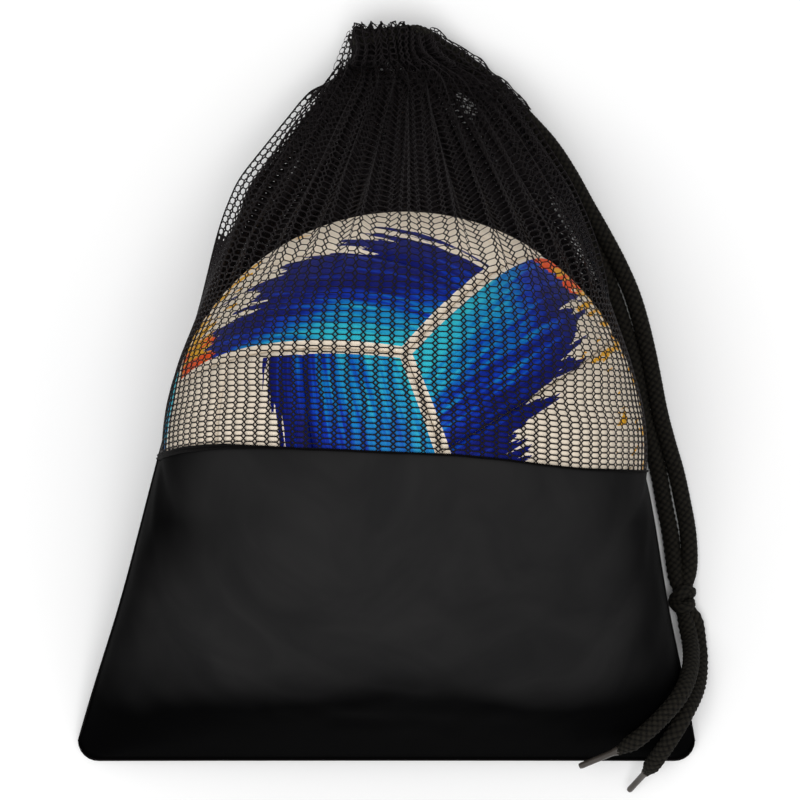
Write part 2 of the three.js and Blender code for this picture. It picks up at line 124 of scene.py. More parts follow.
# Vinyl base, with its ripples as height, scale and seed, and its creases as start, end, width and depth
CLOTH_WIDTH = 0.336
VINYL_THICKNESS = 0.0009
VINYL_LIFT = 0.0003
VINYL_ROWS = 60
VINYL_COLUMNS = 120
VINYL_TUCK = 0.001
EDGE_TURN = 0.014
EDGE_SHARES = (0, 0.12, 0.3, 0.5, 0.75)
SIDE_ROUNDS = 40
VINYL_ROUNDS = 20
RIPPLES = ((0.0012, 22, 1), (0.0006, 55, 2))
CREASES = [
    ((-0.124, -0.083), (-0.094, -0.066), 0.004, 0.0012),
    ((-0.06, -0.088), (-0.061, -0.11), 0.003, 0.001),
    ((0.088, -0.045), (0.108, -0.07), 0.006, 0.0012),
    ((0.06, -0.1), (0.105, -0.112), 0.005, 0.001),
    ((-0.03, -0.118), (0.02, -0.122), 0.005, 0.0008),
]

# Net lattice: flattened hexagons in straight rows, with small diamonds between them
NET_COLUMNS = 54
NET_ROWS = 66
ROW_GROWTH = 0.12
NET_LIFT = 0.0008
NET_SECTIONS = (64, 128)
NET_ROUNDS = 6
STRAND_WIDTH = 0.00066
STRAND_THICKNESS = 0.0005
MOST_FILLED = 0.94
# Corners of a hexagon, in tenths of a cell from its middle, and of the diamond where four hexagons meet
TENTHS = 10
HEXAGON = np.array([(-5, 0), (-3, 5), (3, 5), (5, 0), (3, -5), (-3, -5)])
DIAMOND = np.array([(-2, 0), (0, 5), (2, 0), (0, -5)])
# How much strands thicken where the net hangs slack
RELAXED_FRONT = 1.1
RELAXED_BACK = 7
SLACK_FROM_BALL = (-0.001, 0.004)
# Pleats towards the neck, and how the net is shared out along a section
PLEATS = 15
PLEAT_SLACK = 1.1
PLEAT_LEAN = 0.35
PLEAT_LEVELS = (0.085, 0.125)
PLEAT_FADE_LEFT = (0.02, 0.1)
PLEAT_FADE_RIGHT = (0, 0.06)
GATHER_LEVELS = (0.095, 0.15)
FABRIC_STEPS = 240
FABRIC_BLUR = 5
SMOOTH_SHARE = 0.8
LEAST_SPACING = 0.1
LEAST_SHARE = 0.02
# Loose strip at the left edge, which lies flat beyond the side of the bag
EDGE_STRIP = 0.0066
EDGE_SPACING = 0.45
EDGE_LEVELS = (0.048, 0.108, 0.158, 0.172)
EDGE_DIRECTION = (-1, 0.5, -0.3)
EDGE_SHARE = EDGE_STRIP / EDGE_SPACING / CLOTH_WIDTH
OPEN_LEVELS = (0.088, 0.098, 0.158, 0.17)
OPEN_SHARES = (0.045, 0.06)
# Places on the right where the net is pulled open, as start, end, width and share of the strand left
GAPS = [
    ((0.0706, 0.1126), (0.0894, 0.0743), 0.0042, 0.7),
    ((0.0265, 0.1625), (0.031, 0.156), 0.0056, 0.6),
]

# Hem
HEM_ROWS = 7
HEM_WALLS = (0.0007, -0.0007)
HEM_STRANDS = 1.35
HEM_OVERLAP = 0.001
HEM_TOP_DROP = 0.0022
HEM_END_DROP = 0.005
HEM_OPENING = math.radians(30)
HEM_FLARE = 0.6
HEM_TUCK = 0.17
HEM_SIDE_REACH = 0.5
HEM_SIZE = 0.98
HEM_PINCH = 0.14
HEM_PINCH_PLACE, HEM_PINCH_REACH = 0.45, 0.3
HEM_TAPER = 0.08
HEM_PLEAT_DEPTHS = (0.005, 0.0042)
HEM_PLEAT_LEAN = 0.14
# Uneven top of the hem: a low wave, and tufts in its dip, each as height, place of a top and length
RUFFLE_WAVE = (0.0012, -0.0025, 0.0206)
RUFFLE_TUFTS = (0.0024, -0.0106, 0.0047)
RUFFLE_FRAY = 0.0006
TUFTS_MIDDLE, TUFTS_REACH = -0.013, 0.0055
# Loose flap of net at the left of the hem: its cells, and its left and right edges from bottom to top
FLAP_CELLS = (6, 4)
FLAP_STRANDS = 1.15
FLAP_BULGE = (0, 0, 0.002)
FLAP_LEFT = ((-0.0332, 0.1742, 0.0205), (-0.0262, 0.1915, 0.0215))
FLAP_RIGHT = ((-0.0212, 0.1725, 0.0265), (-0.0195, 0.193, 0.0275))
# Sleeve of net from the hem over the first stretch of the outer cord
SLEEVE_CELLS = (15, 6)
SLEEVE_STRANDS = 1.2
SLEEVE_LIFT = 0.0011
SLEEVE_WRINKLES = (0.0005, 0.0004)
SLEEVE_TURN = (math.radians(150), math.radians(385))

# Seams
SEAM_THICKNESS = 0.0012
SEAM_STEP = 0.0025
PIPING_SIDES = 10
PIPING_RADIUS = 0.0007
NET_PIPING_RADIUS = 0.0005
EDGE_PIPING_RADIUS = 0.0003
NET_PIPING_LEVELS = (0, 0.01)
EDGE_PIPING_LEVELS = (0.06, 0.09)

# Drawcord
CORD_DIAMETER = 0.0074
CORD_BULGE = 1.1
CORD_SIDES = 40
CORD_STEP = 0.0006
CORD_TAPER = 0.009
FREE_CORD_ENDS = (1, 0.7)
TAIL_ENDS = (0.75, 0.55)
CURVE_STEPS = 40
BRAID_CARRIERS = 6
BRAID_LAY = 0.0185
BRAID_DEPTH = 0.2
LOOP_RADIUS = 0.015
LOOP_MIDDLE = 0.18585
LOOP_RISE = 0.0084
LOOP_TURN = (40, 320)
LOOP_POINTS = 30
KNOT_BEND_RADIUS = 0.0029
KNOT_CORD_RADIUS = 0.003
# Moulded tip: shares of its length with the radius there
TIP_PROFILE = [(0, 0.0004), (0, 0.0021), (0.12, 0.002), (0.2, 0.0015), (0.6, 0.00145), (0.95, 0.00145),
               (1, 0.00125), (1, 0.0004)]
TIP_OVERLAP = 0.002
TIP_SIDES = 24

panel_points = {
    name: np.array([v.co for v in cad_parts[name].data.vertices])
    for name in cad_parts
    if name.startswith("panel_")
}
BALL_CENTRE = (panel_points["panel_x1_2"].mean(0) + panel_points["panel_x2_2"].mean(0)) / 2
BALL_RADIUS = max(norm(p - BALL_CENTRE, axis=1).max() for p in panel_points.values())
FACE_LENGTH = BALL_RADIUS * FACE_ANGLE
STRIP_WIDTH = BALL_RADIUS * STRIP_ANGLE
BASE_LOW, BASE_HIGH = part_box("base_front")
NECK_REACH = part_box("net_front")[1].y
MOUTH_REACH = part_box("hem_front")[1].y


# Helpers
def unit(vectors):
    return vectors / norm(vectors, axis=-1, keepdims=True)


def lerp(a, b, t):
    return a + (b - a) * t


def ease(low, high, value):
    t = np.clip((value - low) / (high - low), 0, 1)
    return t * t * (3 - 2 * t)


def between(levels, y):
    """1 between the middle two of four levels, fading to 0 at the outer two."""
    return ease(levels[0], levels[1], y) * (1 - ease(levels[2], levels[3], y))


def bell(distance, reach, power=2):
    return np.exp(-(distance / reach) ** power)


def keep_above(points, level):
    points[..., 2] = np.maximum(points[..., 2], level)
    return points


def distances(path):
    """Distance along a path to each of its points."""
    return np.concatenate([[0], np.cumsum(norm(np.diff(path, axis=0), axis=1))])


def placed(name, data):
    made = bpy.data.objects.new(name, data)
    bpy.context.scene.collection.objects.link(made)
    return made


def points_along(path, marks):
    """Points at some distances along a path."""
    return np.stack([np.interp(marks, distances(path), values) for values in path.T], axis=1)


def new_object(name, points, faces, material):
    mesh = bpy.data.meshes.new(name)
    mesh.from_pydata([tuple(p) for p in points], [], [tuple(f) for f in faces])
    mesh.validate()
    mesh.polygons.foreach_set("use_smooth", [True] * len(mesh.polygons))
    mesh.materials.append(material)
    return placed(name, mesh)


def on_bag(piece, nodes, flattens=True):
    """The piece rides on the bag and stands for CAD nodes; unless flattens is false, it gets a mesh of its
    own.
    """
    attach(piece, "bag")
    if nodes:
        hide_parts(*nodes)
    if flattens:
        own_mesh(piece)
    return piece


def closed_sheet(outer, inner):
    """Points and faces of a thin sheet between two grids of points."""
    index = np.arange(outer[..., 0].size).reshape(outer.shape[:2])
    face = np.stack([index[:-1, :-1], index[:-1, 1:], index[1:, 1:], index[1:, :-1]], axis=-1).reshape(-1, 4)
    ring = np.concatenate([index[0, :-1], index[:-1, -1], index[-1, :0:-1], index[:0:-1, 0]])
    after = np.roll(ring, -1)
    wall = np.stack([after, ring, ring + index.size, after + index.size], axis=1)
    points = np.concatenate([outer.reshape(-1, 3), inner.reshape(-1, 3)])
    return points, np.concatenate([face, face[:, ::-1] + index.size, wall])


def grid_normals(grid):
    along = np.gradient(grid, axis=0)
    across = np.gradient(grid, axis=1)
    return unit(np.cross(across, along))


def smooth_grid(grid, rounds):
    """Evens out a grid of points, with its border left as it is."""
    for _ in range(rounds):
        middle = (grid[:-2, 1:-1] + grid[2:, 1:-1] + grid[1:-1, :-2] + grid[1:-1, 2:]) / 4
        grid[1:-1, 1:-1] = lerp(grid[1:-1, 1:-1], middle, 0.5)
    return grid


def noise_at(points, scale, seed):
    shift = Vector((seed * 7.1, seed * 3.3, seed * 5.7))
    values = [noise.noise(Vector(p) * scale + shift) for p in points.reshape(-1, 3)]
    return np.array(values).reshape(points.shape[:-1])


def line_distance(points, start, end):
    """Distance from points to a line between two places, seen from above."""
    start, along = np.array(start), np.subtract(end, start)
    t = np.clip(((points[..., :2] - start) @ along) / along.dot(along), 0, 1)
    return norm(points[..., :2] - start - t[..., None] * along, axis=-1)


# Materials
class Look:
    """A material, whose nodes are added one call at a time."""

    def __init__(self, name, colour, roughness, specular=0.5):
        self.material = bpy.data.materials.new(name)
        self.material.use_nodes = True
        self.tree = self.material.node_tree
        self.shader = self.tree.nodes["Principled BSDF"]
        self.colour((*colour[:3], 1))
        self.feed(self.shader.inputs["Roughness"], roughness)
        self.feed(self.shader.inputs["Specular IOR Level"], specular)

    def feed(self, socket, value):
        """Sets a socket to a value, or links it to an output."""
        if isinstance(value, bpy.types.NodeSocket):
            self.tree.links.new(value, socket)
        else:
            socket.default_value = value

    def add(self, kind, inputs, **settings):
        node = self.tree.nodes.new(kind)
        for key, value in settings.items():
            setattr(node, key, value)
        for key, value in inputs.items():
            self.feed(node.inputs[key], value)
        return node

    def math(self, operation, *values):
        return self.add("ShaderNodeMath", dict(enumerate(values)), operation=operation).outputs[0]

    def mix(self, factor, a, b):
        node = self.add("ShaderNodeMix", {"Factor": factor}, data_type="RGBA")
        for socket, value in zip([s for s in node.inputs if s.type == "RGBA"], (a, b)):
            self.feed(socket, value)
        return next(s for s in node.outputs if s.type == "RGBA")

    def map_range(self, value, start, end, to_start, to_end, kind="LINEAR"):
        inputs = dict(enumerate((value, start, end, to_start, to_end)))
        return self.add("ShaderNodeMapRange", inputs, interpolation_type=kind).outputs[0]

    def place(self):
        return self.add("ShaderNodeTexCoord", {}).outputs["Object"]

    def noise(self, scale, detail, distortion=0.0, place=None):
        place = self.place() if place is None else place
        inputs = {"Vector": place, "Scale": scale, "Detail": detail, "Distortion": distortion}
        return self.add("ShaderNodeTexNoise", inputs).outputs[0]

    def stretched_noise(self, place, scale, detail):
        stretched = self.add("ShaderNodeMapping", {"Vector": place, "Scale": scale})
        return self.noise(1, detail, place=stretched.outputs[0])

    def cells(self, scale):
        return self.add("ShaderNodeTexVoronoi", {"Vector": self.place(), "Scale": scale}).outputs["Distance"]

    def colour(self, value):
        self.feed(self.shader.inputs["Base Color"], value)

    def bump(self, height, strength, distance):
        node = self.add("ShaderNodeBump", {"Strength": strength, "Distance": distance, "Height": height})
        self.feed(self.shader.inputs["Normal"], node.outputs[0])


NAVY = (0.003, 0.007, 0.14, 1)
ROYAL = (0.002, 0.032, 0.4, 1)
AZURE = (0.003, 0.19, 0.52, 1)
CYAN = (0.03, 0.48, 0.6, 1)
WARM_WHITE = (0.86, 0.75, 0.61, 1)
YELLOW = (0.87, 0.43, 0.005, 1)
ORANGE = (0.9, 0.085, 0.002, 1)

# Printed design of a face, mostly in shares of its size
BORDER_WIDTH = 0.003
STROKE_SLANT = 0.35
FAR_CORNER = 1.2
PAINT_EDGE = 1.3
SWEEP_SCALE = (2.2, 3.0, 1)
SWEEP_DEPTH = 0.5
BRISTLE_SCALE = (3.5, 42, 1)
BRISTLE_DEPTH = 0.34
BRISTLE_SHADE = 0.22
HOT_LENGTH = 0.24
FLAME_SPLIT = 0.51
FLECK_SCALE = (6, 30, 1)
FLECK_START = 0.43
FLECK_FADE = 0.5
DIMPLE_SCALE = 620


def face_places(look):
    """Shares along and across a face, and a place for its own noise."""
    own = look.add("ShaderNodeUVMap", {}, uv_map="face").outputs[0]
    split = look.add("ShaderNodeSeparateXYZ", {0: own}).outputs
    return look.math("MODULO", split[0], 2), split[1], own


def painted_depth(look, along, across, own):
    """How far a place is inside the brushed paint, which starts from two corners of each face."""
    near = look.math("MULTIPLY_ADD", along, STROKE_SLANT, across)
    far = look.math("MULTIPLY_ADD", near, -1, FAR_CORNER)
    reach = look.math("MAXIMUM", near, far)
    sweep = look.stretched_noise(own, SWEEP_SCALE, 2)
    bristle = look.stretched_noise(own, BRISTLE_SCALE, 4)
    reach = look.math("MULTIPLY_ADD", sweep, SWEEP_DEPTH, reach)
    reach = look.math("MULTIPLY_ADD", bristle, BRISTLE_DEPTH, reach)
    return look.math("SUBTRACT", reach, PAINT_EDGE), bristle


def brushed_blues(look, depth, bristle):
    shade = look.math("MULTIPLY_ADD", bristle, BRISTLE_SHADE, look.math("SUBTRACT", depth, BRISTLE_SHADE / 2))
    ramp = look.add("ShaderNodeValToRGB", {0: shade})
    stops = ramp.color_ramp.elements
    for place_on_ramp, colour in ((0.27, AZURE), (0.17, ROYAL)):
        stops.new(place_on_ramp).color = colour
    stops[0].position, stops[0].color = 0.08, NAVY
    stops[-1].position, stops[-1].color = 0.4, CYAN
    return ramp.outputs[0]


def cover_material(name):
    """Warm white with brushed blues, orange ends of the strokes and yellow flecks, inside a plain border."""
    look = Look(name, WARM_WHITE, 0.5, 0.1)
    along, across, own = face_places(look)
    depth, bristle = painted_depth(look, along, across, own)
    end = look.math("MULTIPLY_ADD", bristle, BRISTLE_DEPTH, look.math("SUBTRACT", along, BRISTLE_DEPTH / 2))
    hot = look.math("LESS_THAN", end, HOT_LENGTH)
    flame = look.mix(look.math("GREATER_THAN", bristle, FLAME_SPLIT), ORANGE, YELLOW)
    paint = look.mix(hot, brushed_blues(look, depth, bristle), flame)
    fleck = look.stretched_noise(own, FLECK_SCALE, 3)
    sparse = look.math("MULTIPLY_ADD", along, FLECK_FADE, FLECK_START)
    ground = look.mix(look.math("GREATER_THAN", fleck, sparse), WARM_WHITE, YELLOW)
    colour = look.mix(look.math("GREATER_THAN", depth, 0), ground, paint)
    sides = [look.math("PINGPONG", side, 0.5) for side in (along, across)]
    border = look.math("LESS_THAN", look.math("MINIMUM", *sides), BORDER_WIDTH / FACE_LENGTH)
    look.colour(look.mix(border, colour, WARM_WHITE))
    look.bump(look.cells(DIMPLE_SCALE), 0.25, 0.0006)
    return look.material


# Painted sheen on the vinyl: a grey patch of reflected light painted into its base colour, near black outside
# it
PAINTED_SHEEN_LEVELS = (-0.03, -0.095)
PAINTED_SHEEN_HALF_WIDTHS = (0.096, 0.124)
PAINTED_SHEEN_SLANT = -0.125
PAINTED_SHEEN_SHIFT = 0.005
PAINTED_SHEEN_FLARE = 0.4
PAINTED_SHEEN_MIDDLE = -0.031
PAINTED_SHEEN_HALF_HEIGHT = 0.062
PAINTED_SHEEN_ARCH = 0.2
PAINTED_SHEEN_ROUNDING = 0.03
PAINTED_SHEEN_WANDER = 1.3
PAINTED_SHEEN_FADE = (2.4, 0.75)


def painted_sheen_distance(look, x, y):
    """How far a place is from the middle of the painted sheen: 1 at its half width or half height."""
    half_width = look.map_range(y, *PAINTED_SHEEN_LEVELS, *PAINTED_SHEEN_HALF_WIDTHS)
    towards_waist = look.math("MAXIMUM", look.math("SUBTRACT", y, PAINTED_SHEEN_LEVELS[0]), 0)
    half_width = look.math("MULTIPLY_ADD", towards_waist, PAINTED_SHEEN_FLARE, half_width)
    slanted = look.math("SUBTRACT", look.math("MULTIPLY_ADD", y, PAINTED_SHEEN_SLANT, x), PAINTED_SHEEN_SHIFT)
    sideways = look.math("DIVIDE", look.math("ABSOLUTE", slanted), half_width)
    from_centre = look.math("SQRT", look.math("MULTIPLY_ADD", x, x, PAINTED_SHEEN_ROUNDING ** 2))
    arched = look.math("MULTIPLY_ADD", from_centre, PAINTED_SHEEN_ARCH, look.math("SUBTRACT", y, PAINTED_SHEEN_MIDDLE))
    upwards = look.math("DIVIDE", look.math("ABSOLUTE", arched), PAINTED_SHEEN_HALF_HEIGHT)
    return look.math("ADD", look.math("POWER", sideways, 4), look.math("POWER", upwards, 4))


def vinyl_material():
    """Black coated cloth with a soft grey sheen painted over its middle, standing for the reflection of a
    large light.
    """
    look = Look("vinyl", (0.009, 0.009, 0.009), 0.4, 0.0005)
    x, y, _ = look.add("ShaderNodeSeparateXYZ", {0: look.place()}).outputs
    # Painted sheen: grey with patchy noise in the middle, fading to near black at the margins; the cloth's
    # own specular reflection is almost nil
    far = look.math("MULTIPLY_ADD", look.noise(16, 2), PAINTED_SHEEN_WANDER, painted_sheen_distance(look, x, y))
    painted_sheen = look.map_range(far, *PAINTED_SHEEN_FADE, 0, 1, "SMOOTHSTEP")
    sheen_patches = look.noise(20, 3, 1.2)
    sheen_grey = look.mix(sheen_patches, (0.009, 0.009, 0.0095, 1), (0.023, 0.0225, 0.0225, 1))
    look.colour(look.mix(painted_sheen, (0.0013, 0.0013, 0.0014, 1), sheen_grey))
    look.bump(look.noise(1500, 2), 0.12, 0.0003)
    return look.material


def grained_material(name, colour, roughness, specular, scale, strength, distance):
    look = Look(name, colour, roughness, specular)
    look.bump(look.noise(scale, 2), strength, distance)
    return look.material


def cord_material():
    """Dull black braid, with shade painted darker in the gaps between its strands."""
    look = Look("cord", (0.012, 0.0105, 0.008), 0.85, 0.1)
    braid = look.add("ShaderNodeAttribute", {}, attribute_name="braid").outputs["Fac"]
    lint = look.noise(900, 3)
    strand = look.mix(lint, (0.007, 0.0062, 0.0046, 1), (0.019, 0.0165, 0.012, 1))
    # Painted shade: near black in the gaps between the strands, by the braid's height, the yarn's own colour
    # on the ridges
    unshaded_ridge = look.map_range(braid, 0.35, 0.95, 0, 1)
    look.colour(look.mix(unshaded_ridge, (0.0016, 0.0014, 0.0012, 1), strand))
    return look.material


def tip_material():
    look = Look("cord_tip", (0.06, 0.052, 0.045), 0.4)
    wear = look.noise(350, 3)
    look.colour(look.mix(wear, (0.022, 0.018, 0.015, 1), (0.06, 0.05, 0.042, 1)))
    return look.material


def lining_material():
    look = Look("lining", (0.48, 0.44, 0.37), 0.9)
    look.bump(look.cells(900), 0.5, 0.0005)
    return look.material


COVERS = {slot: cover_material(slot) for slot in ("cover_blue", "cover_white")}
VINYL = vinyl_material()
NET = Look("net", (0.0085, 0.0066, 0.0072), 0.7, 0.12).material
TAPE = grained_material("seam_tape", (0.0034, 0.003, 0.0031), 0.75, 0.03, 900, 0.5, 0.0006)
CORD = cord_material()
TIP = tip_material()
RUBBER = grained_material("rubber", (0.012, 0.012, 0.012), 0.6, 0.5, 500, 0.3, 0.0003)
LINING = lining_material()


# Camera, floor and lights
def add_camera():
    data = bpy.data.cameras.new("camera")
    data.sensor_width = SENSOR_WIDTH
    data.lens = SENSOR_WIDTH * CAMERA_DISTANCE / VIEW_WIDTH
    camera = placed("camera", data)
    camera.location = (*CAMERA_AIM, BALL_CENTRE[2] + CAMERA_DISTANCE)
    bpy.context.scene.camera = camera


def add_softbox():
    data = bpy.data.lights.new("softbox_above", "AREA")
    data.shape = "RECTANGLE"
    data.size, data.size_y = SOFTBOX_SIZE
    data.energy = SOFTBOX_POWER
    lamp = placed("softbox_above", data)
    lamp.location = SOFTBOX_PLACE
    lamp.rotation_euler = (Vector(SOFTBOX_AIM) - lamp.location).to_track_quat("-Z", "Y").to_euler()


def add_stage():
    material = Look("floor", (0.93, 0.93, 0.93), 0.9, 0).material
    half = FLOOR_HALF_SIZE
    corners = [(-half, -half, 0), (half, -half, 0), (half, half, 0), (-half, half, 0)]
    floor = new_object("floor", corners, [(0, 1, 2, 3)], material)
    floor.location.z = -FLOOR_DROP
    world = bpy.data.worlds.new("studio")
    world.use_nodes = True
    background = world.node_tree.nodes["Background"].inputs
    background["Color"].default_value = (1, 1, 1, 1)
    background["Strength"].default_value = WORLD_STRENGTH
    bpy.context.scene.world = world
    bpy.context.scene.view_settings.view_transform = "Standard"


# Drawcord routes, close to those of the construction and a few millimetres off them at the mouth and knot
CORD_REST_HEIGHT = 0.0042


def on_floor(places):
    return [(x, y, CORD_REST_HEIGHT) for x, y in places]


LOOP_END_UPPER = [(0.005492, 0.190052, 0.030142), (0.010, 0.1887, 0.025)]
LOOP_END_LOWER = [(0.005492, 0.181648, 0.010858), (0.010, 0.1802, 0.0163)]
OUTER_DOWN = [(0.0172, 0.1842, 0.0195), (0.0285, 0.1776, 0.0125), (0.0418, 0.167, 0.006)]
INNER_DOWN = [(0.0172, 0.1757, 0.0145), (0.0265, 0.169, 0.009), (0.0372, 0.1612, 0.0055)]
OUTER_ON_FLOOR = on_floor([
    (0.0553, 0.1538), (0.0672, 0.1407), (0.0762, 0.1272), (0.0839, 0.1133), (0.0918, 0.0994),
    (0.0989, 0.086), (0.105, 0.0722), (0.1092, 0.0587), (0.1125, 0.045), (0.1152, 0.0316),
    (0.118, 0.0171), (0.1216, 0.0033), (0.1256, -0.0106), (0.1286, -0.0244),
])
INNER_ON_FLOOR = on_floor([
    (0.05, 0.1491), (0.0612, 0.1359), (0.0698, 0.1233), (0.0775, 0.1093), (0.0854, 0.0955),
    (0.092, 0.0829), (0.0973, 0.0694), (0.1015, 0.0567), (0.1053, 0.0432), (0.1077, 0.0307),
    (0.1106, 0.0151), (0.1144, 0.0015), (0.1179, -0.0125), (0.1204, -0.0262),
])
OUTER_TO_KNOT = [(0.131, -0.0382, 0.005), (0.1316, -0.052, 0.0065), (0.1303, -0.0606, 0.008)]
INNER_TO_KNOT = [(0.1228, -0.0385, 0.005), (0.1244, -0.0508, 0.0062), (0.1257, -0.0606, 0.008)]
LONG_TAIL = [
    (0.1297, -0.0797, 0.011), (0.1312, -0.0875, 0.0155), (0.1312, -0.0945, 0.0255), (0.1292, -0.102, 0.0375),
    (0.1245, -0.1105, 0.049), (0.116, -0.12, 0.054), (0.106, -0.1292, 0.053), (0.0965, -0.136, 0.047),
]
SHORT_TAIL = [
    (0.134, -0.0786, 0.0065), (0.1356, -0.0885, 0.006), (0.1362, -0.0985, 0.008), (0.134, -0.1095, 0.02),
    (0.1276, -0.1205, 0.034), (0.1212, -0.1308, 0.0365), (0.1149, -0.1413, 0.029), (0.1108, -0.1482, 0.0185),
]
LONG_TIP_END = (0.0796, -0.1434, 0.04)
SHORT_TIP_END = (0.1037, -0.1572, 0.009)
# The two cords through the knot, and the bend of cord round them
OUTER_TO_LONG = [(0.1298, -0.0662, 0.0085), (0.1274, -0.0698, 0.0066), (0.1278, -0.0735, 0.0095)]
INNER_TO_SHORT = [(0.1268, -0.0662, 0.0085), (0.1296, -0.0698, 0.0062), (0.131, -0.0735, 0.007)]
KNOT_BEND = [
    (0.1310, -0.0668, 0.0045), (0.1316, -0.0658, 0.0090), (0.1290, -0.0652, 0.0120),
    (0.1266, -0.0668, 0.0124), (0.1245, -0.0700, 0.0100), (0.1266, -0.0726, 0.0122),
    (0.1290, -0.0728, 0.0122), (0.1312, -0.0714, 0.0095), (0.1308, -0.0700, 0.0045),
]


def smooth_path(points, step):
    """Points at even steps along a smooth curve through some points."""
    p = np.array(points, float)
    p = np.vstack([2 * p[0] - p[1], p, 2 * p[-1] - p[-2]])
    dense = []
    for i in range(1, len(p) - 2):
        a, b, c, d = p[i - 1:i + 3]
        for t in np.linspace(0, 1, CURVE_STEPS, endpoint=False):
            dense.append(
                0.5 * (2 * b + (c - a) * t + (2 * a - 5 * b + 4 * c - d) * t ** 2
                       + (3 * b - a - 3 * c + d) * t ** 3)
            )
    dense = np.array(dense + [p[-2]])
    length = distances(dense)[-1]
    return points_along(dense, np.linspace(0, length, max(2, int(round(length / step)) + 1)))


def path_frames(path):
    """Two directions square to the path at each point, carried along it without twisting."""
    tangents = unit(np.gradient(path, axis=0))
    side = np.cross(tangents[0], (0, 0, 1.0))
    sides = []
    for tangent in tangents:
        side = unit(side - tangent * side.dot(tangent))
        sides.append(side)
    sides = np.array(sides)
    return sides, np.cross(tangents, sides)


def rings_round(path, sides, ups, reach):
    """Rings of points round a path; reach is how far out each point is."""
    turn = 2 * np.pi * np.arange(reach.shape[1]) / reach.shape[1]
    around = sides[:, None] * np.cos(turn)[:, None] + ups[:, None] * np.sin(turn)[:, None]
    return path[:, None] + around * reach[..., None]


def braid_height(along, turn):
    """Height of a plaited surface, 0 in the gaps and 1 on the strands."""
    a = BRAID_CARRIERS * (turn + along / BRAID_LAY)
    b = BRAID_CARRIERS * (turn - along / BRAID_LAY)
    across_a, across_b = a % 1, b % 1
    over = (np.floor(a) + np.floor(b)) % 2 == 0
    width = np.where(over, across_a, across_b)
    length = np.where(over, across_b, across_a)
    return np.sqrt(1 - (2 * width - 1) ** 2) * (0.55 + 0.45 * np.sin(np.pi * length))


def braided_rings(path, radius):
    """Rings of points of a braided cord, and the braid's height there."""
    turn = np.arange(CORD_SIDES) / CORD_SIDES
    height = braid_height(distances(path)[:, None], turn[None, :])
    reach = np.broadcast_to(radius, len(path))[:, None] * CORD_BULGE * (1 - BRAID_DEPTH * (1 - height))
    return rings_round(path, *path_frames(path), reach), height


def tube_mesh(rings):
    """Points and faces of a tube of rings, closed at both ends."""
    index = np.arange(rings[..., 0].size).reshape(rings.shape[:2])
    after = np.roll(index, -1, axis=1)
    walls = np.stack([index[:-1], after[:-1], after[1:], index[1:]], axis=-1).reshape(-1, 4)
    first = [(index.size, b, a) for a, b in zip(index[0], after[0])]
    last = [(index.size + 1, a, b) for a, b in zip(index[-1], after[-1])]
    return [*rings.reshape(-1, 3), rings[0].mean(0), rings[-1].mean(0)], [*walls, *first, *last]


def add_braid(name, stretches):
    """Braided cord as one piece; each stretch is its rings and the height of the braid there."""
    points, faces, heights = [], [], []
    for rings, height in stretches:
        more_points, more_faces = tube_mesh(rings)
        faces += [tuple(i + len(points) for i in face) for face in more_faces]
        points += more_points
        heights += [*height.ravel(), 0, 0]
    piece = new_object(name, points, faces, CORD)
    piece.data.attributes.new("braid", "FLOAT", "POINT").data.foreach_set("value", heights)
    return piece


def cord_radius(path, start, end):
    """Radius along a cord that narrows to a share of its size at its start and its end."""
    reach = distances(path)
    from_start = lerp(start, 1, ease(0, CORD_TAPER, reach))
    from_end = lerp(end, 1, ease(0, CORD_TAPER, reach[-1] - reach))
    return CORD_DIAMETER / 2 * from_start * from_end


def declare_cord(piece, path, **facts):
    length = float(distances(path)[-1])


def add_free_cord(which, start, floor_part, knot):
    """A stretch of cord from the hem to the knot, in two pieces; only the part beside the mouth gets a mesh
    of its own.
    """
    name = "drawcord_braid_" + which
    path = smooth_path(start + floor_part, CORD_STEP)
    rings, height = braided_rings(path, cord_radius(path, *FREE_CORD_ENDS))
    cut = int(np.argmin(norm(path - np.array(floor_part[0]), axis=1)))
    top = add_braid(name + "_at_mouth", [(rings[:cut + 1], height[:cut + 1])])
    on_bag(top, [])
    declare_cord(top, path[:cut + 1], far_end="object")
    piece = add_braid(name, [(rings[cut:], height[cut:])])
    on_bag(piece, ["drawcord_" + which], flattens=False)
    declare_cord(piece, path[cut:], far_end="knot", with_pieces=[knot])


def add_tail(which, route, tip):
    path = smooth_path(route, CORD_STEP)
    rings = braided_rings(path, cord_radius(path, *TAIL_ENDS))
    piece = add_braid("drawcord_braid_tail_" + which, [rings])
    on_bag(piece, ["drawcord_tail_" + which])
    declare_cord(piece, path, far_end="fitting", with_pieces=[tip])


def add_tip(name, tail, end):
    """A moulded tip with a crimped collar, from the end of a tail."""
    last, before = np.array(tail[-1]), np.array(tail[-2])
    start = last - unit(last - before) * TIP_OVERLAP
    axis = unit(np.array(end) - start)
    side = unit(np.cross(axis, (0, 0, 1.0)))
    path = np.array([lerp(start, np.array(end), share) for share, _ in TIP_PROFILE])
    reach = np.array([[radius] * TIP_SIDES for _, radius in TIP_PROFILE])
    sides = np.broadcast_to(side, path.shape)
    rings = rings_round(path, sides, np.cross(sides, axis), reach)
    piece = new_object(name + "_moulded", *tube_mesh(rings), TIP)
    return on_bag(piece, [name])


def add_knot():
    """An overhand knot: a bend of cord that points left, round the two cords that pass through."""
    radii = (KNOT_BEND_RADIUS, KNOT_CORD_RADIUS, KNOT_CORD_RADIUS)
    routes = (KNOT_BEND, OUTER_TO_LONG, INNER_TO_SHORT)
    stretches = [braided_rings(smooth_path(route, CORD_STEP), radius) for route, radius in zip(routes, radii)]
    piece = add_braid("drawcord_overhand_knot", stretches)
    return on_bag(piece, ["drawcord_knot"], flattens=False)


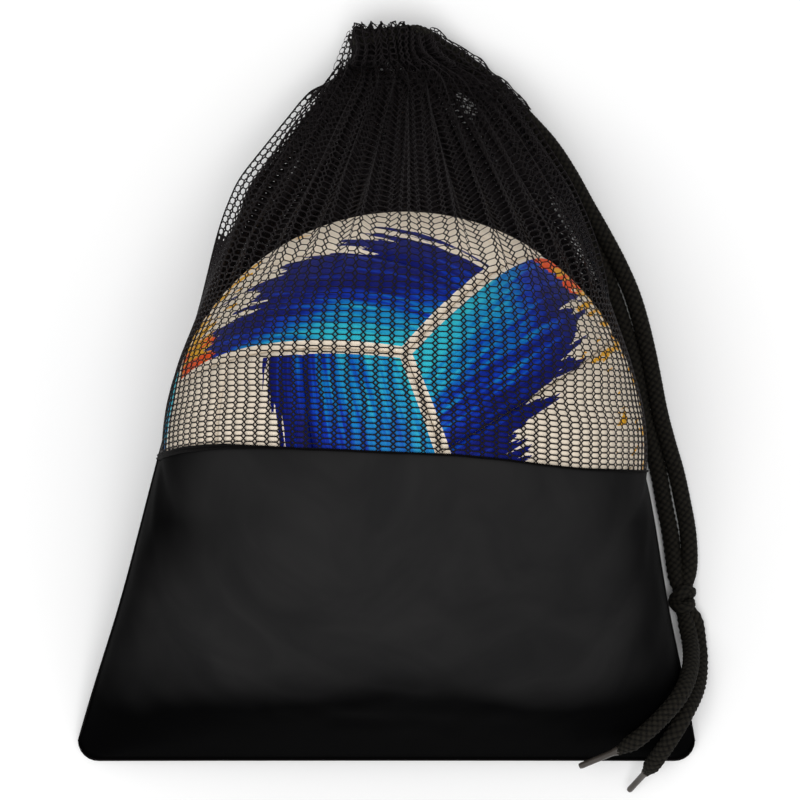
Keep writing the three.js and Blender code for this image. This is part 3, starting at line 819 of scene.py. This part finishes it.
def add_drawcord():
    knot = add_knot()
    free_cords = [
        ("outer", LOOP_END_UPPER + OUTER_DOWN, OUTER_ON_FLOOR + OUTER_TO_KNOT + OUTER_TO_LONG[:1]),
        ("inner", LOOP_END_LOWER + INNER_DOWN, INNER_ON_FLOOR + INNER_TO_KNOT + INNER_TO_SHORT[:1]),
    ]
    for which, start, floor_part in free_cords:
        add_free_cord(which, start, floor_part, knot)
    tails = [
        ("long", OUTER_TO_LONG[-1], LONG_TAIL, LONG_TIP_END),
        ("short", INNER_TO_SHORT[-1], SHORT_TAIL, SHORT_TIP_END),
    ]
    tips = [add_tip("cord_tip_" + which, tail, end) for which, _, tail, end in tails]
    for (which, start, tail, _), tip in zip(tails, tips):
        add_tail(which, [start] + tail, tip)


# Ball
def eased_steps(count):
    """Steps from 0 to 1 that are closer together at both ends."""
    t = np.linspace(0, 1, count + 1)
    return lerp(t, ease(0, 1, t), STEP_EASE)


def panel_grid(normal, along, across, strip):
    """Directions over a strip, distances to its edge, and shares along and across it."""
    u, v = eased_steps(PANEL_STEPS[0])[:, None], eased_steps(PANEL_STEPS[1])[None, :]
    trim = PANEL_GAP / 2 / BALL_RADIUS
    alpha = lerp(-FACE_ANGLE / 2 + trim, FACE_ANGLE / 2 - trim, u)
    beta = lerp(trim, STRIP_ANGLE - trim, v) - FACE_ANGLE / 2 + STRIP_ANGLE * strip
    direction = normal + np.tan(alpha)[..., None] * along + np.tan(beta)[..., None] * across
    to_edge = np.minimum(np.minimum(u, 1 - u) * FACE_LENGTH, np.minimum(v, 1 - v) * STRIP_WIDTH)
    return unit(direction), to_edge, u, v


def add_panel(face, number, normal, along, across, strip):
    direction, to_edge, u, v = panel_grid(normal, along, across, strip)
    rounding = PANEL_EDGE_DEPTH * (1 - ease(0, PANEL_EDGE_WIDTH, to_edge))
    outer = BALL_CENTRE + direction * (BALL_RADIUS - rounding)[..., None]
    inner = BALL_CENTRE + direction * (BALL_RADIUS - PANEL_THICKNESS)
    points, faces = closed_sheet(outer, inner)
    if np.dot(np.cross(across, along), normal) < 0:
        faces = faces[:, ::-1]
    name = f"panel_{face}_{strip + 1}"
    slot = "cover_white" if strip == 1 else "cover_blue"
    piece = new_object("cover_" + name, points, faces, COVERS[slot])
    uv = np.stack(np.broadcast_arrays(u + 2 * number, (strip + v) / 3), axis=-1).reshape(-1, 2)
    layer = piece.data.uv_layers.new(name="face")
    corners = np.zeros(len(piece.data.loops), np.int32)
    piece.data.loops.foreach_get("vertex_index", corners)
    layer.data.foreach_set("uv", uv[corners % len(uv)].ravel())
    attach(piece, "ball")
    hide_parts(name)


def add_ball():
    axes = [unit(panel_points[f"panel_{k}1_2"].mean(0) - BALL_CENTRE) for k in "xyz"]
    for k in range(3):
        for side, sign in enumerate((1, -1)):
            face = "xyz"[k] + "12"[side]
            for strip in range(3):
                add_panel(face, 2 * k + side, axes[k] * sign, axes[(k + 2) % 3], axes[(k + 1) % 3], strip)
    for node, material in (("lining", LINING), ("bladder", RUBBER), ("valve", RUBBER)):
        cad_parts[node].data.materials.clear()
        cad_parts[node].data.materials.append(material)


# Bag surface: cloth drawn tight over the ball, the bottom edge, two shoulders and the neck
def bottom_edge(share):
    x = lerp(BASE_LOW.x, BASE_HIGH.x, share)
    to_end = np.minimum(share, 1 - share) * (BASE_HIGH.x - BASE_LOW.x)
    turn = np.clip(EDGE_CORNER_RADIUS - to_end, 0, EDGE_CORNER_RADIUS)
    inset = EDGE_CORNER_RADIUS - np.sqrt(EDGE_CORNER_RADIUS ** 2 - turn ** 2)
    from_middle = (2 * share - 1) ** 2
    y = BASE_LOW.y + inset - EDGE_BOW * from_middle - EDGE_DROP
    return np.stack([x, y, EDGE_CORNER_HEIGHT + EDGE_RISE * (1 - from_middle)], axis=-1)


def even_sphere(count):
    """Directions spread evenly all round, along a spiral."""
    index = np.arange(count)
    z = 1 - 2 * (index + 0.5) / count
    turn = index * math.pi * (3 - math.sqrt(5))
    side = np.sqrt(1 - z * z)
    return np.stack([side * np.cos(turn), side * np.sin(turn), z], axis=1)


def bag_tree():
    share = np.linspace(0, 1, HULL_RING_POINTS)
    edge = bottom_edge(share)
    cos, sin = np.cos(2 * np.pi * share), np.sin(2 * np.pi * share)
    nil = 0 * share
    inset = np.clip(edge[:, 0], BASE_LOW.x + UNDERSIDE_INSET, BASE_HIGH.x - UNDERSIDE_INSET)
    wide = np.where(cos < 0, SHOULDER_LEFT, SHOULDER_RIGHT)
    half = SHOULDER_HEIGHT / 2
    points = np.concatenate([
        BALL_CENTRE + even_sphere(HULL_BALL_POINTS) * (BALL_RADIUS + CLOTH_LIFT),
        edge,
        np.stack([inset, nil + BASE_LOW.y + UNDERSIDE_LIFT, nil], axis=1),
        np.stack([REST_RADIUS * cos, REST_RADIUS * sin, nil], axis=1),
        np.stack([wide * cos, nil + SHOULDER_REACH, half + half * sin], axis=1),
        np.stack([NECK_X + NECK_RADIUS * cos, nil + NECK_REACH + NECK_PAST, NECK_RADIUS * (1 + sin)], axis=1),
        [(FLARE_REACH, NECK_REACH - FLARE_DROP, FLARE_HEIGHT)],
    ])
    shape = bmesh.new()
    for p in keep_above(points, 0):
        shape.verts.new(p)
    bmesh.ops.convex_hull(shape, input=shape.verts)
    tree = BVHTree.FromBMesh(shape)
    shape.free()
    return tree


BAG = bag_tree()


def section_middle(y):
    corner = BASE_LOW.y + EDGE_CORNER_RADIUS
    bottom = Vector(((BASE_LOW.x + BASE_HIGH.x) / 2, corner, MIDDLE_END_HEIGHT))
    neck = Vector((NECK_X, NECK_REACH, NECK_RADIUS))
    end = bottom if y < MIDDLE_LEVEL else neck
    share = min(1, max(0, (y - MIDDLE_LEVEL) / (end.y - MIDDLE_LEVEL)))
    middle = Vector(BALL_CENTRE).lerp(end, share)
    middle.y = y
    return middle


def bag_point(y, angle):
    """A point of the bag at a level and an angle round it, with the sides drawn in."""
    side = math.cos(angle)
    point = np.array(BAG.ray_cast(section_middle(y), Vector((side, 0, math.sin(angle))))[0])
    point[0] -= SIDE_PULL * between(SIDE_PULL_LEVELS, y) * side * abs(side) ** 3
    point[0] -= NIP_DEPTH * bell(y - NIP_LEVEL, NIP_WIDTH) * max(0, side) ** 5
    return point


def waist(angle):
    """Level of the waist: higher behind, tilted down to the right, and dipping at both sides."""
    low = min(1, max(0, -math.sin(angle)))
    cos = math.cos(angle)
    dip = WAIST_DIP_LEFT * max(0, -cos) ** 4 + WAIST_DIP_RIGHT * ease(*WAIST_DIP_SIDE, cos)
    return WAIST_LEVEL + WAIST_BACK * low * low - WAIST_TILT * cos - dip


def waist_top(angle):
    """Upper edge of the waist's band, wider at the left, where net gathers in it."""
    width = lerp(WAIST_BAND_WIDTH, WAIST_GATHER_WIDTH, ease(*WAIST_GATHER_SIDE, -math.cos(angle)))
    return waist(angle) + width


def band_middle(angle):
    return (waist(angle) + waist_top(angle)) / 2


def vinyl_top(angle):
    return waist(angle) + VINYL_TUCK


def bag_grid(front, rows, columns, start_at, end_at):
    """Points on the front or back of the bag, from left to right, in rows up the bag."""
    grid = np.zeros((rows + 1, columns + 1, 3))
    for j in range(columns + 1):
        angle = math.pi * (1 - j / columns) if front else math.pi * (1 + j / columns)
        start, end = start_at(angle), end_at(angle)
        for i in range(rows + 1):
            grid[i, j] = bag_point(lerp(start, end, i / rows), angle)
    return grid


def lift_off_ball(points, clearance):
    """Moves points out to at least a clearance from the ball's surface."""
    away = points - BALL_CENTRE
    far = norm(away, axis=-1, keepdims=True)
    return BALL_CENTRE + away / far * np.maximum(far, BALL_RADIUS + clearance)


# Vinyl base
def vinyl_grid(front):
    """Points of the front or back of the base, from the bottom edge up to the waist."""
    grid = bag_grid(front, VINYL_ROWS, VINYL_COLUMNS, lambda angle: BASE_LOW.y + EDGE_TURN, vinyl_top)
    edge = bottom_edge((1 - np.cos(np.pi * np.linspace(0, 1, VINYL_COLUMNS + 1))) / 2)
    grid = np.concatenate([[lerp(edge, grid[0], share) for share in EDGE_SHARES], grid])
    for _ in range(SIDE_ROUNDS):
        grid[1:-1, ::VINYL_COLUMNS] = (grid[:-2, ::VINYL_COLUMNS] + grid[2:, ::VINYL_COLUMNS]) / 2
    return smooth_grid(grid, VINYL_ROUNDS)


def vinyl_ripple(grid):
    """How far the front of the base stands out or in: soft ripples and creases, none at its edges."""
    share = np.linspace(0, 1, VINYL_COLUMNS + 1)
    fade = ease(0, 12, np.arange(len(grid)))[:, None] * ease(0, 0.1, np.minimum(share, 1 - share))
    ripple = sum(height * noise_at(grid, scale, seed) for height, scale, seed in RIPPLES)
    for start, end, width, depth in CREASES:
        ripple = ripple - depth * bell(line_distance(grid, start, end), width)
    return ripple * fade


def add_vinyl(name, front):
    grid = vinyl_grid(front)
    if front:
        grid = grid + grid_normals(grid) * vinyl_ripple(grid)[..., None]
        grid = lift_off_ball(grid, VINYL_THICKNESS + VINYL_LIFT)
        upper, lower = grid, grid - grid_normals(grid) * VINYL_THICKNESS
    else:
        grid = keep_above(grid, 0)
        upper, lower = grid + grid_normals(grid) * VINYL_THICKNESS, grid
    return new_object(name, *closed_sheet(upper, lower), VINYL)


# Net lattice
def sample(grid, row, column):
    """Values of a grid between its points."""
    i = np.clip(np.floor(row).astype(int), 0, grid.shape[0] - 2)
    j = np.clip(np.floor(column).astype(int), 0, grid.shape[1] - 2)
    extra = (...,) + (None,) * (grid.ndim - 2)
    u, v = (row - i)[extra], (column - j)[extra]
    return lerp(lerp(grid[i, j], grid[i, j + 1], v), lerp(grid[i + 1, j], grid[i + 1, j + 1], v), u)


def inset_corners(corners, distance):
    """Corners of polygons moved in by a distance from each edge, or to the middle where that fills them."""
    before = np.roll(corners, 1, axis=1) - corners
    after = np.roll(corners, -1, axis=1) - corners
    inward = unit(before) + unit(after)
    size = norm(inward, axis=-1, keepdims=True)
    to_middle = corners.mean(axis=1, keepdims=True) - corners
    room = norm(to_middle, axis=-1, keepdims=True)
    half_sine = np.sqrt(np.maximum(1 - (size / 2) ** 2, 1e-4))
    move = np.minimum(distance / half_sine, room * MOST_FILLED)
    filled = ease(0.4, 0.8, move / room)
    direction = unit(lerp(inward + 0.1 * to_middle / room, to_middle / room, filled))
    return corners + direction * move


def cell_places(rows, columns):
    return np.stack(np.meshgrid(np.arange(columns), np.arange(rows)), axis=-1).reshape(-1, 1, 2)


def lattice_corners(rows, columns):
    """Corners, in tenths of a cell, of a hexagon in each cell and of a diamond on each inner corner."""
    cells, inner = cell_places(rows, columns), cell_places(rows - 1, columns - 1) + 1
    return [cells * TENTHS + TENTHS // 2 + HEXAGON, inner * TENTHS + DIAMOND]


def lattice_mesh(surface, rows, columns):
    """Points and faces of a net; surface gives points, normals and strand widths at places in cells."""
    shapes = lattice_corners(rows, columns)
    places, index = np.unique(np.concatenate([s.reshape(-1, 2) for s in shapes]), axis=0, return_inverse=True)
    nodes, normals, widths = surface(places[:, 1] / TENTHS, places[:, 0] / TENTHS)
    half = STRAND_THICKNESS / 2
    count = len(nodes)
    widths = np.broadcast_to(widths, count)
    points = [nodes + normals * half, nodes - normals * half]
    faces = []
    used = 0
    for shape in shapes:
        size = shape.shape[0] * shape.shape[1]
        node = index.ravel()[used:used + size].reshape(shape.shape[:2])
        edge = 2 * count + used + np.arange(size).reshape(shape.shape[:2])
        used += size
        points.append(inset_corners(nodes[node], widths[node].mean(axis=1)[:, None, None] / 2).reshape(-1, 3))
        next_node, next_edge = np.roll(node, -1, axis=1), np.roll(edge, -1, axis=1)
        faces.append(np.stack([node, edge, next_edge, next_node], axis=-1).reshape(-1, 4))
        faces.append(np.stack([edge, node + count, next_node + count, next_edge], axis=-1).reshape(-1, 4))
    return np.concatenate(points), np.concatenate(faces)


def fabric_marks(length, y):
    """Where even steps of net lie along a section, and how far apart."""
    share = (np.arange(FABRIC_STEPS) + 0.5) / FABRIC_STEPS
    pull = length / CLOTH_WIDTH
    gather = ease(*GATHER_LEVELS, y)
    middle = lerp(min(1, pull), pull, gather)
    middle_share = SMOOTH_SHARE * pull / middle
    side_share = (1 - middle_share) / 2
    side_length = (1 - SMOOTH_SHARE) * pull / 2
    edge_share = EDGE_SHARE * between(EDGE_LEVELS, y)
    left = (side_length - edge_share * EDGE_SPACING) / max(LEAST_SHARE, side_share - edge_share)
    right = side_length / max(LEAST_SHARE, side_share)
    spacing = np.maximum(LEAST_SPACING, np.where(share < 0.5, left, right))
    spacing = np.where(abs(share - 0.5) < middle_share / 2, middle, spacing)
    spacing = np.where(share < edge_share, EDGE_SPACING, spacing)
    window = 2 * FABRIC_BLUR + 1
    spacing = np.convolve(np.pad(spacing, FABRIC_BLUR, mode="edge"), np.ones(window) / window, mode="valid")
    spacing *= pull / spacing.mean()
    marks = np.concatenate([[0], np.cumsum(spacing)]) * CLOTH_WIDTH / FABRIC_STEPS
    return marks, np.concatenate([spacing, spacing[-1:]])


def strand_width(place, share, front):
    """Strands draw together where the net hangs slack beside the ball, and thin out where it is open."""
    from_middle = np.hypot(place[..., 0] - BALL_CENTRE[0], place[..., 1] - BALL_CENTRE[1])
    slack = ease(*SLACK_FROM_BALL, from_middle - BALL_RADIUS)
    edge = 1 - ease(*OPEN_SHARES, share)
    open_edge = edge * between(OPEN_LEVELS, place[..., 1])
    relaxed = lerp(RELAXED_FRONT, RELAXED_BACK, edge) if front else RELAXED_BACK
    width = lerp(1, relaxed, slack * (1 - open_edge))
    for start, end, reach, left_over in GAPS:
        width = lerp(width, left_over, bell(line_distance(place, start, end), reach, 4))
    return STRAND_WIDTH * width


def pleat_phase(share, t, front):
    """Turns through the pleats, which stray sideways a little on their way up."""
    shift = 0 if front else 2
    wander = 0.25 * np.sin(5 * share + 3.1 * t + shift) + 0.12 * np.sin(23 * share - 4 * t)
    return 2 * np.pi * (PLEATS * share + wander)


def lay_edge_flat(grid):
    """Lays the left edge of a net out as a flat strip beyond the side."""
    start = int(round(EDGE_SHARE * FABRIC_STEPS))
    share = np.arange(start) / FABRIC_STEPS
    out = EDGE_STRIP * (1 - share / EDGE_SHARE)[None, :, None] * unit(np.array(EDGE_DIRECTION))
    flat = grid[:, start:start + 1] + out
    amount = between(EDGE_LEVELS, grid[:, :start, 1])[..., None]
    grid[:, :start] = lerp(grid[:, :start], flat, amount)
    return grid


def net_grid(front):
    """Points at even steps of the front or back net, in rows up the bag, and how far apart they lie."""
    sections = bag_grid(front, *NET_SECTIONS, band_middle, lambda angle: NECK_REACH)
    grid = np.zeros((len(sections), FABRIC_STEPS + 1, 3))
    spacing = np.zeros(grid.shape[:2])
    for n, section in enumerate(sections):
        marks, spacing[n] = fabric_marks(distances(section)[-1], section[:, 1].mean())
        grid[n] = points_along(section, marks)
    grid = lift_off_ball(smooth_grid(grid, NET_ROUNDS), NET_LIFT)
    return (lay_edge_flat(grid) if front else grid), spacing


def net_surface(front, rows):
    """A surface of the front or back net: smooth over the ball, in long pleats towards the neck."""
    grid, spacing = net_grid(front)
    outward = 1 if front else -1
    normals = grid_normals(grid) * outward
    tangents = unit(np.gradient(grid, axis=1))
    depth = CLOTH_WIDTH / PLEATS / 4 * np.sqrt(1 - np.minimum(1, spacing * PLEAT_SLACK) ** 2)

    def surface(row, column):
        t = row / rows
        share = column / NET_COLUMNS
        at = ((t + ROW_GROWTH * (t * t - t)) * (len(grid) - 1), share * FABRIC_STEPS)
        phase = pleat_phase(share, t, front)
        size = sample(depth, *at) * (0.85 + 0.15 * np.sin(31 * share + 1))
        size = size * ease(*PLEAT_FADE_LEFT, share) * ease(*PLEAT_FADE_RIGHT, 1 - share)
        place = sample(grid, *at)
        normal = sample(normals, *at)
        out = size * (np.sin(phase) + 1 - ease(*PLEAT_LEVELS, place[..., 1]))
        lean = size * PLEAT_LEAN * np.cos(phase)
        place = place + normal * out[..., None] + sample(tangents, *at) * lean[..., None]
        place = keep_above(lift_off_ball(place, NET_LIFT), STRAND_THICKNESS)
        return place, normal * outward, strand_width(place, share, front)

    return surface


def add_net(name, front):
    return new_object(name, *lattice_mesh(net_surface(front, NET_ROWS), NET_ROWS, NET_COLUMNS), NET)


# Hem: a gathered tunnel of folded net, with a ruffled top
def wave(x, height, top, length):
    return height * np.cos(2 * np.pi * (x - top) / length)


def ruffle(x):
    return wave(x, *RUFFLE_WAVE) + wave(x, *RUFFLE_TUFTS) * bell(x - TUFTS_MIDDLE, TUFTS_REACH)


def hem_surface(front, layer):
    """One wall of the hem, from the net up; layer is its distance from the middle of the fold."""
    side = 1 if front else -1

    def surface(row, column):
        t = row / HEM_ROWS
        share = column / NET_COLUMNS
        turn = math.pi - side * share * (math.pi - HEM_OPENING)
        pinch = HEM_PINCH * bell(t - HEM_PINCH_PLACE, HEM_PINCH_REACH)
        tuck = HEM_TUCK * bell(turn - math.pi, HEM_SIDE_REACH)
        flare = HEM_FLARE * bell(turn - HEM_OPENING, HEM_SIDE_REACH) * (1 - t) ** 1.2 * front
        radius = NECK_RADIUS * (HEM_SIZE - pinch - HEM_TAPER * t - tuck + flare) + layer
        phase = pleat_phase(share, 1 + 0.2 * t, front)
        size = lerp(*HEM_PLEAT_DEPTHS, t) * (0.7 + 0.3 * np.sin(19 * share + 2))
        radius = radius + size * np.sin(phase)
        turn = turn - side * HEM_PLEAT_LEAN * np.cos(phase) - side * 0.25 * flare
        top = ruffle(NECK_X + radius * np.cos(turn)) + RUFFLE_FRAY * np.sin(phase * 1.7)
        top = top - HEM_END_DROP * (2 * share - 1) ** 2
        y = lerp(NECK_REACH - HEM_OVERLAP, MOUTH_REACH - HEM_TOP_DROP, t) + t * top
        out = np.stack([np.cos(turn), 0 * turn, np.sin(turn)], axis=-1)
        place = out * radius[..., None] + (NECK_X, 0, NECK_RADIUS)
        place[..., 1] = y
        return keep_above(place, STRAND_THICKNESS), out * side, STRAND_WIDTH * HEM_STRANDS

    return surface


def sleeve_surface(rows, columns):
    """Net from the hem that wraps over the first stretch of the outer cord."""
    path = smooth_path(LOOP_END_UPPER[1:] + OUTER_DOWN + OUTER_ON_FLOOR[:1], CORD_STEP)
    sides, ups = path_frames(path)

    def surface(row, column):
        t = row / rows
        i = np.round(t * (len(path) - 1)).astype(int)
        turn = lerp(*SLEEVE_TURN, column / columns)
        out = sides[i] * np.cos(turn)[:, None] + ups[i] * np.sin(turn)[:, None]
        wrinkle = SLEEVE_WRINKLES[0] * np.sin(4 * turn + 17 * t) + SLEEVE_WRINKLES[1] * np.sin(29 * t)
        reach = CORD_DIAMETER / 2 * CORD_BULGE + SLEEVE_LIFT + wrinkle
        place = keep_above(path[i] + out * reach[:, None], STRAND_THICKNESS)
        return place, out, STRAND_WIDTH * SLEEVE_STRANDS

    return surface


def flap_surface(rows, columns):
    """A loose flap of net at the left of the hem, with taller cells at its bottom."""
    edges = np.array([FLAP_LEFT, FLAP_RIGHT])

    def surface(row, column):
        t = ((row / rows) ** 0.8)[:, None]
        left, right = (lerp(edge[0], edge[1], t) for edge in edges)
        share = (column / columns)[:, None]
        place = lerp(left, right, share) + FLAP_BULGE * np.sin(np.pi * share)
        up = np.broadcast_to((0.0, 0.0, 1.0), place.shape)
        return place, up, STRAND_WIDTH * FLAP_STRANDS

    return surface


def add_hem(name, front):
    walls = [lattice_mesh(hem_surface(front, layer), HEM_ROWS, NET_COLUMNS) for layer in HEM_WALLS]
    if front:
        walls.append(lattice_mesh(sleeve_surface(*SLEEVE_CELLS), *SLEEVE_CELLS))
        walls.append(lattice_mesh(flap_surface(*FLAP_CELLS), *FLAP_CELLS))
    points = np.concatenate([wall[0] for wall in walls])
    starts = np.cumsum([0] + [len(wall[0]) for wall in walls[:-1]])
    faces = np.concatenate([wall[1] + start for wall, start in zip(walls, starts)])
    return new_object(name, points, faces, NET)


# Seams
def ribbon(name, middle, across, out, ridges):
    """A seam along a line: a band as wide as across is long, with rolled ridges on its outer face."""
    steps = np.linspace(-0.5, 0.5, 4 * ridges + 1)
    lift = 0.45 + 0.55 * np.abs(np.cos(np.pi * ridges * (steps + 0.5) + np.pi / 2))
    inner = middle[:, None] + across[:, None] * steps[None, :, None]
    outer = inner + out[:, None] * (lift * SEAM_THICKNESS)[None, :, None]
    return new_object(name, *closed_sheet(outer, inner), TAPE)


def add_waist_seam(name, front):
    band = lift_off_ball(bag_grid(front, 2, VINYL_COLUMNS, waist, waist_top), NET_LIFT)
    out = grid_normals(band)[1] * (1 if front else -1)
    across = band[2] - band[0]
    wobble = noise_at(band[1], 90, 4) * WAIST_WOBBLE
    middle = band[1] + unit(across) * wobble[:, None]
    if not front:
        middle = keep_above(middle, SEAM_THICKNESS)
    return ribbon(name, middle, across, out, 2)


def add_piping(name, path, radius):
    """A narrow rolled seam along a line."""
    reach = np.broadcast_to(radius, (PIPING_SIDES, len(path))).T
    rings = keep_above(rings_round(path, *path_frames(path), reach), 0)
    return new_object(name, *tube_mesh(rings), TAPE)


def add_side_seam(name, vinyl_edge, net_edge):
    """The seam up one side: along the vinyl's edge and then, narrower, along the net's."""
    path = smooth_path(np.concatenate([vinyl_edge[::3], net_edge[1::2]]), SEAM_STEP)
    above = path[:, 1] - vinyl_edge[-1][1]
    radius = lerp(PIPING_RADIUS, NET_PIPING_RADIUS, ease(*NET_PIPING_LEVELS, above))
    radius = lerp(radius, EDGE_PIPING_RADIUS, ease(*EDGE_PIPING_LEVELS, above))
    return add_piping(name, path, radius)


# Bag
def add_cord_in_hem():
    share = np.linspace(0, 1, LOOP_POINTS)
    turn = np.radians(lerp(*LOOP_TURN, share))
    x = NECK_X + LOOP_RADIUS * np.cos(turn)
    y = LOOP_MIDDLE + LOOP_RISE * (0.5 - share)
    z = NECK_RADIUS + LOOP_RADIUS * np.sin(turn)
    path = smooth_path(np.stack([x, y, z], axis=1), CORD_STEP)
    return add_braid("drawcord_braid_in_hem", [braided_rings(path, CORD_DIAMETER / 2)])


def add_cloth(front):
    """The vinyl and the net of the front or the back, with its hem and waist seam."""
    side = "front" if front else "back"
    vinyl = on_bag(add_vinyl("vinyl_" + side, front), ["base_" + side])
    net = on_bag(add_net("net_knit_" + side, front), ["net_" + side])
    hem = on_bag(add_hem("hem_knit_" + side, front), ["hem_" + side])
    on_bag(add_waist_seam("waist_tape_" + side, front), ["waist_seam_" + side])


def add_bag():
    add_cloth(True)
    add_cloth(False)
    edges = vinyl_grid(True)
    net = net_grid(True)[0]
    for side, column in (("left", 0), ("right", -1)):
        seam = add_side_seam("side_piping_" + side, edges[:, column], net[:, column])
        on_bag(seam, ["side_seam_" + side])
    bottom = add_piping("bottom_piping", smooth_path(edges[0][::2], SEAM_STEP), PIPING_RADIUS)
    on_bag(bottom, ["bottom_seam"])
    on_bag(add_cord_in_hem(), ["drawcord_in_hem"])


add_camera()
add_stage()
add_softbox()
add_drawcord()
add_ball()
add_bag()
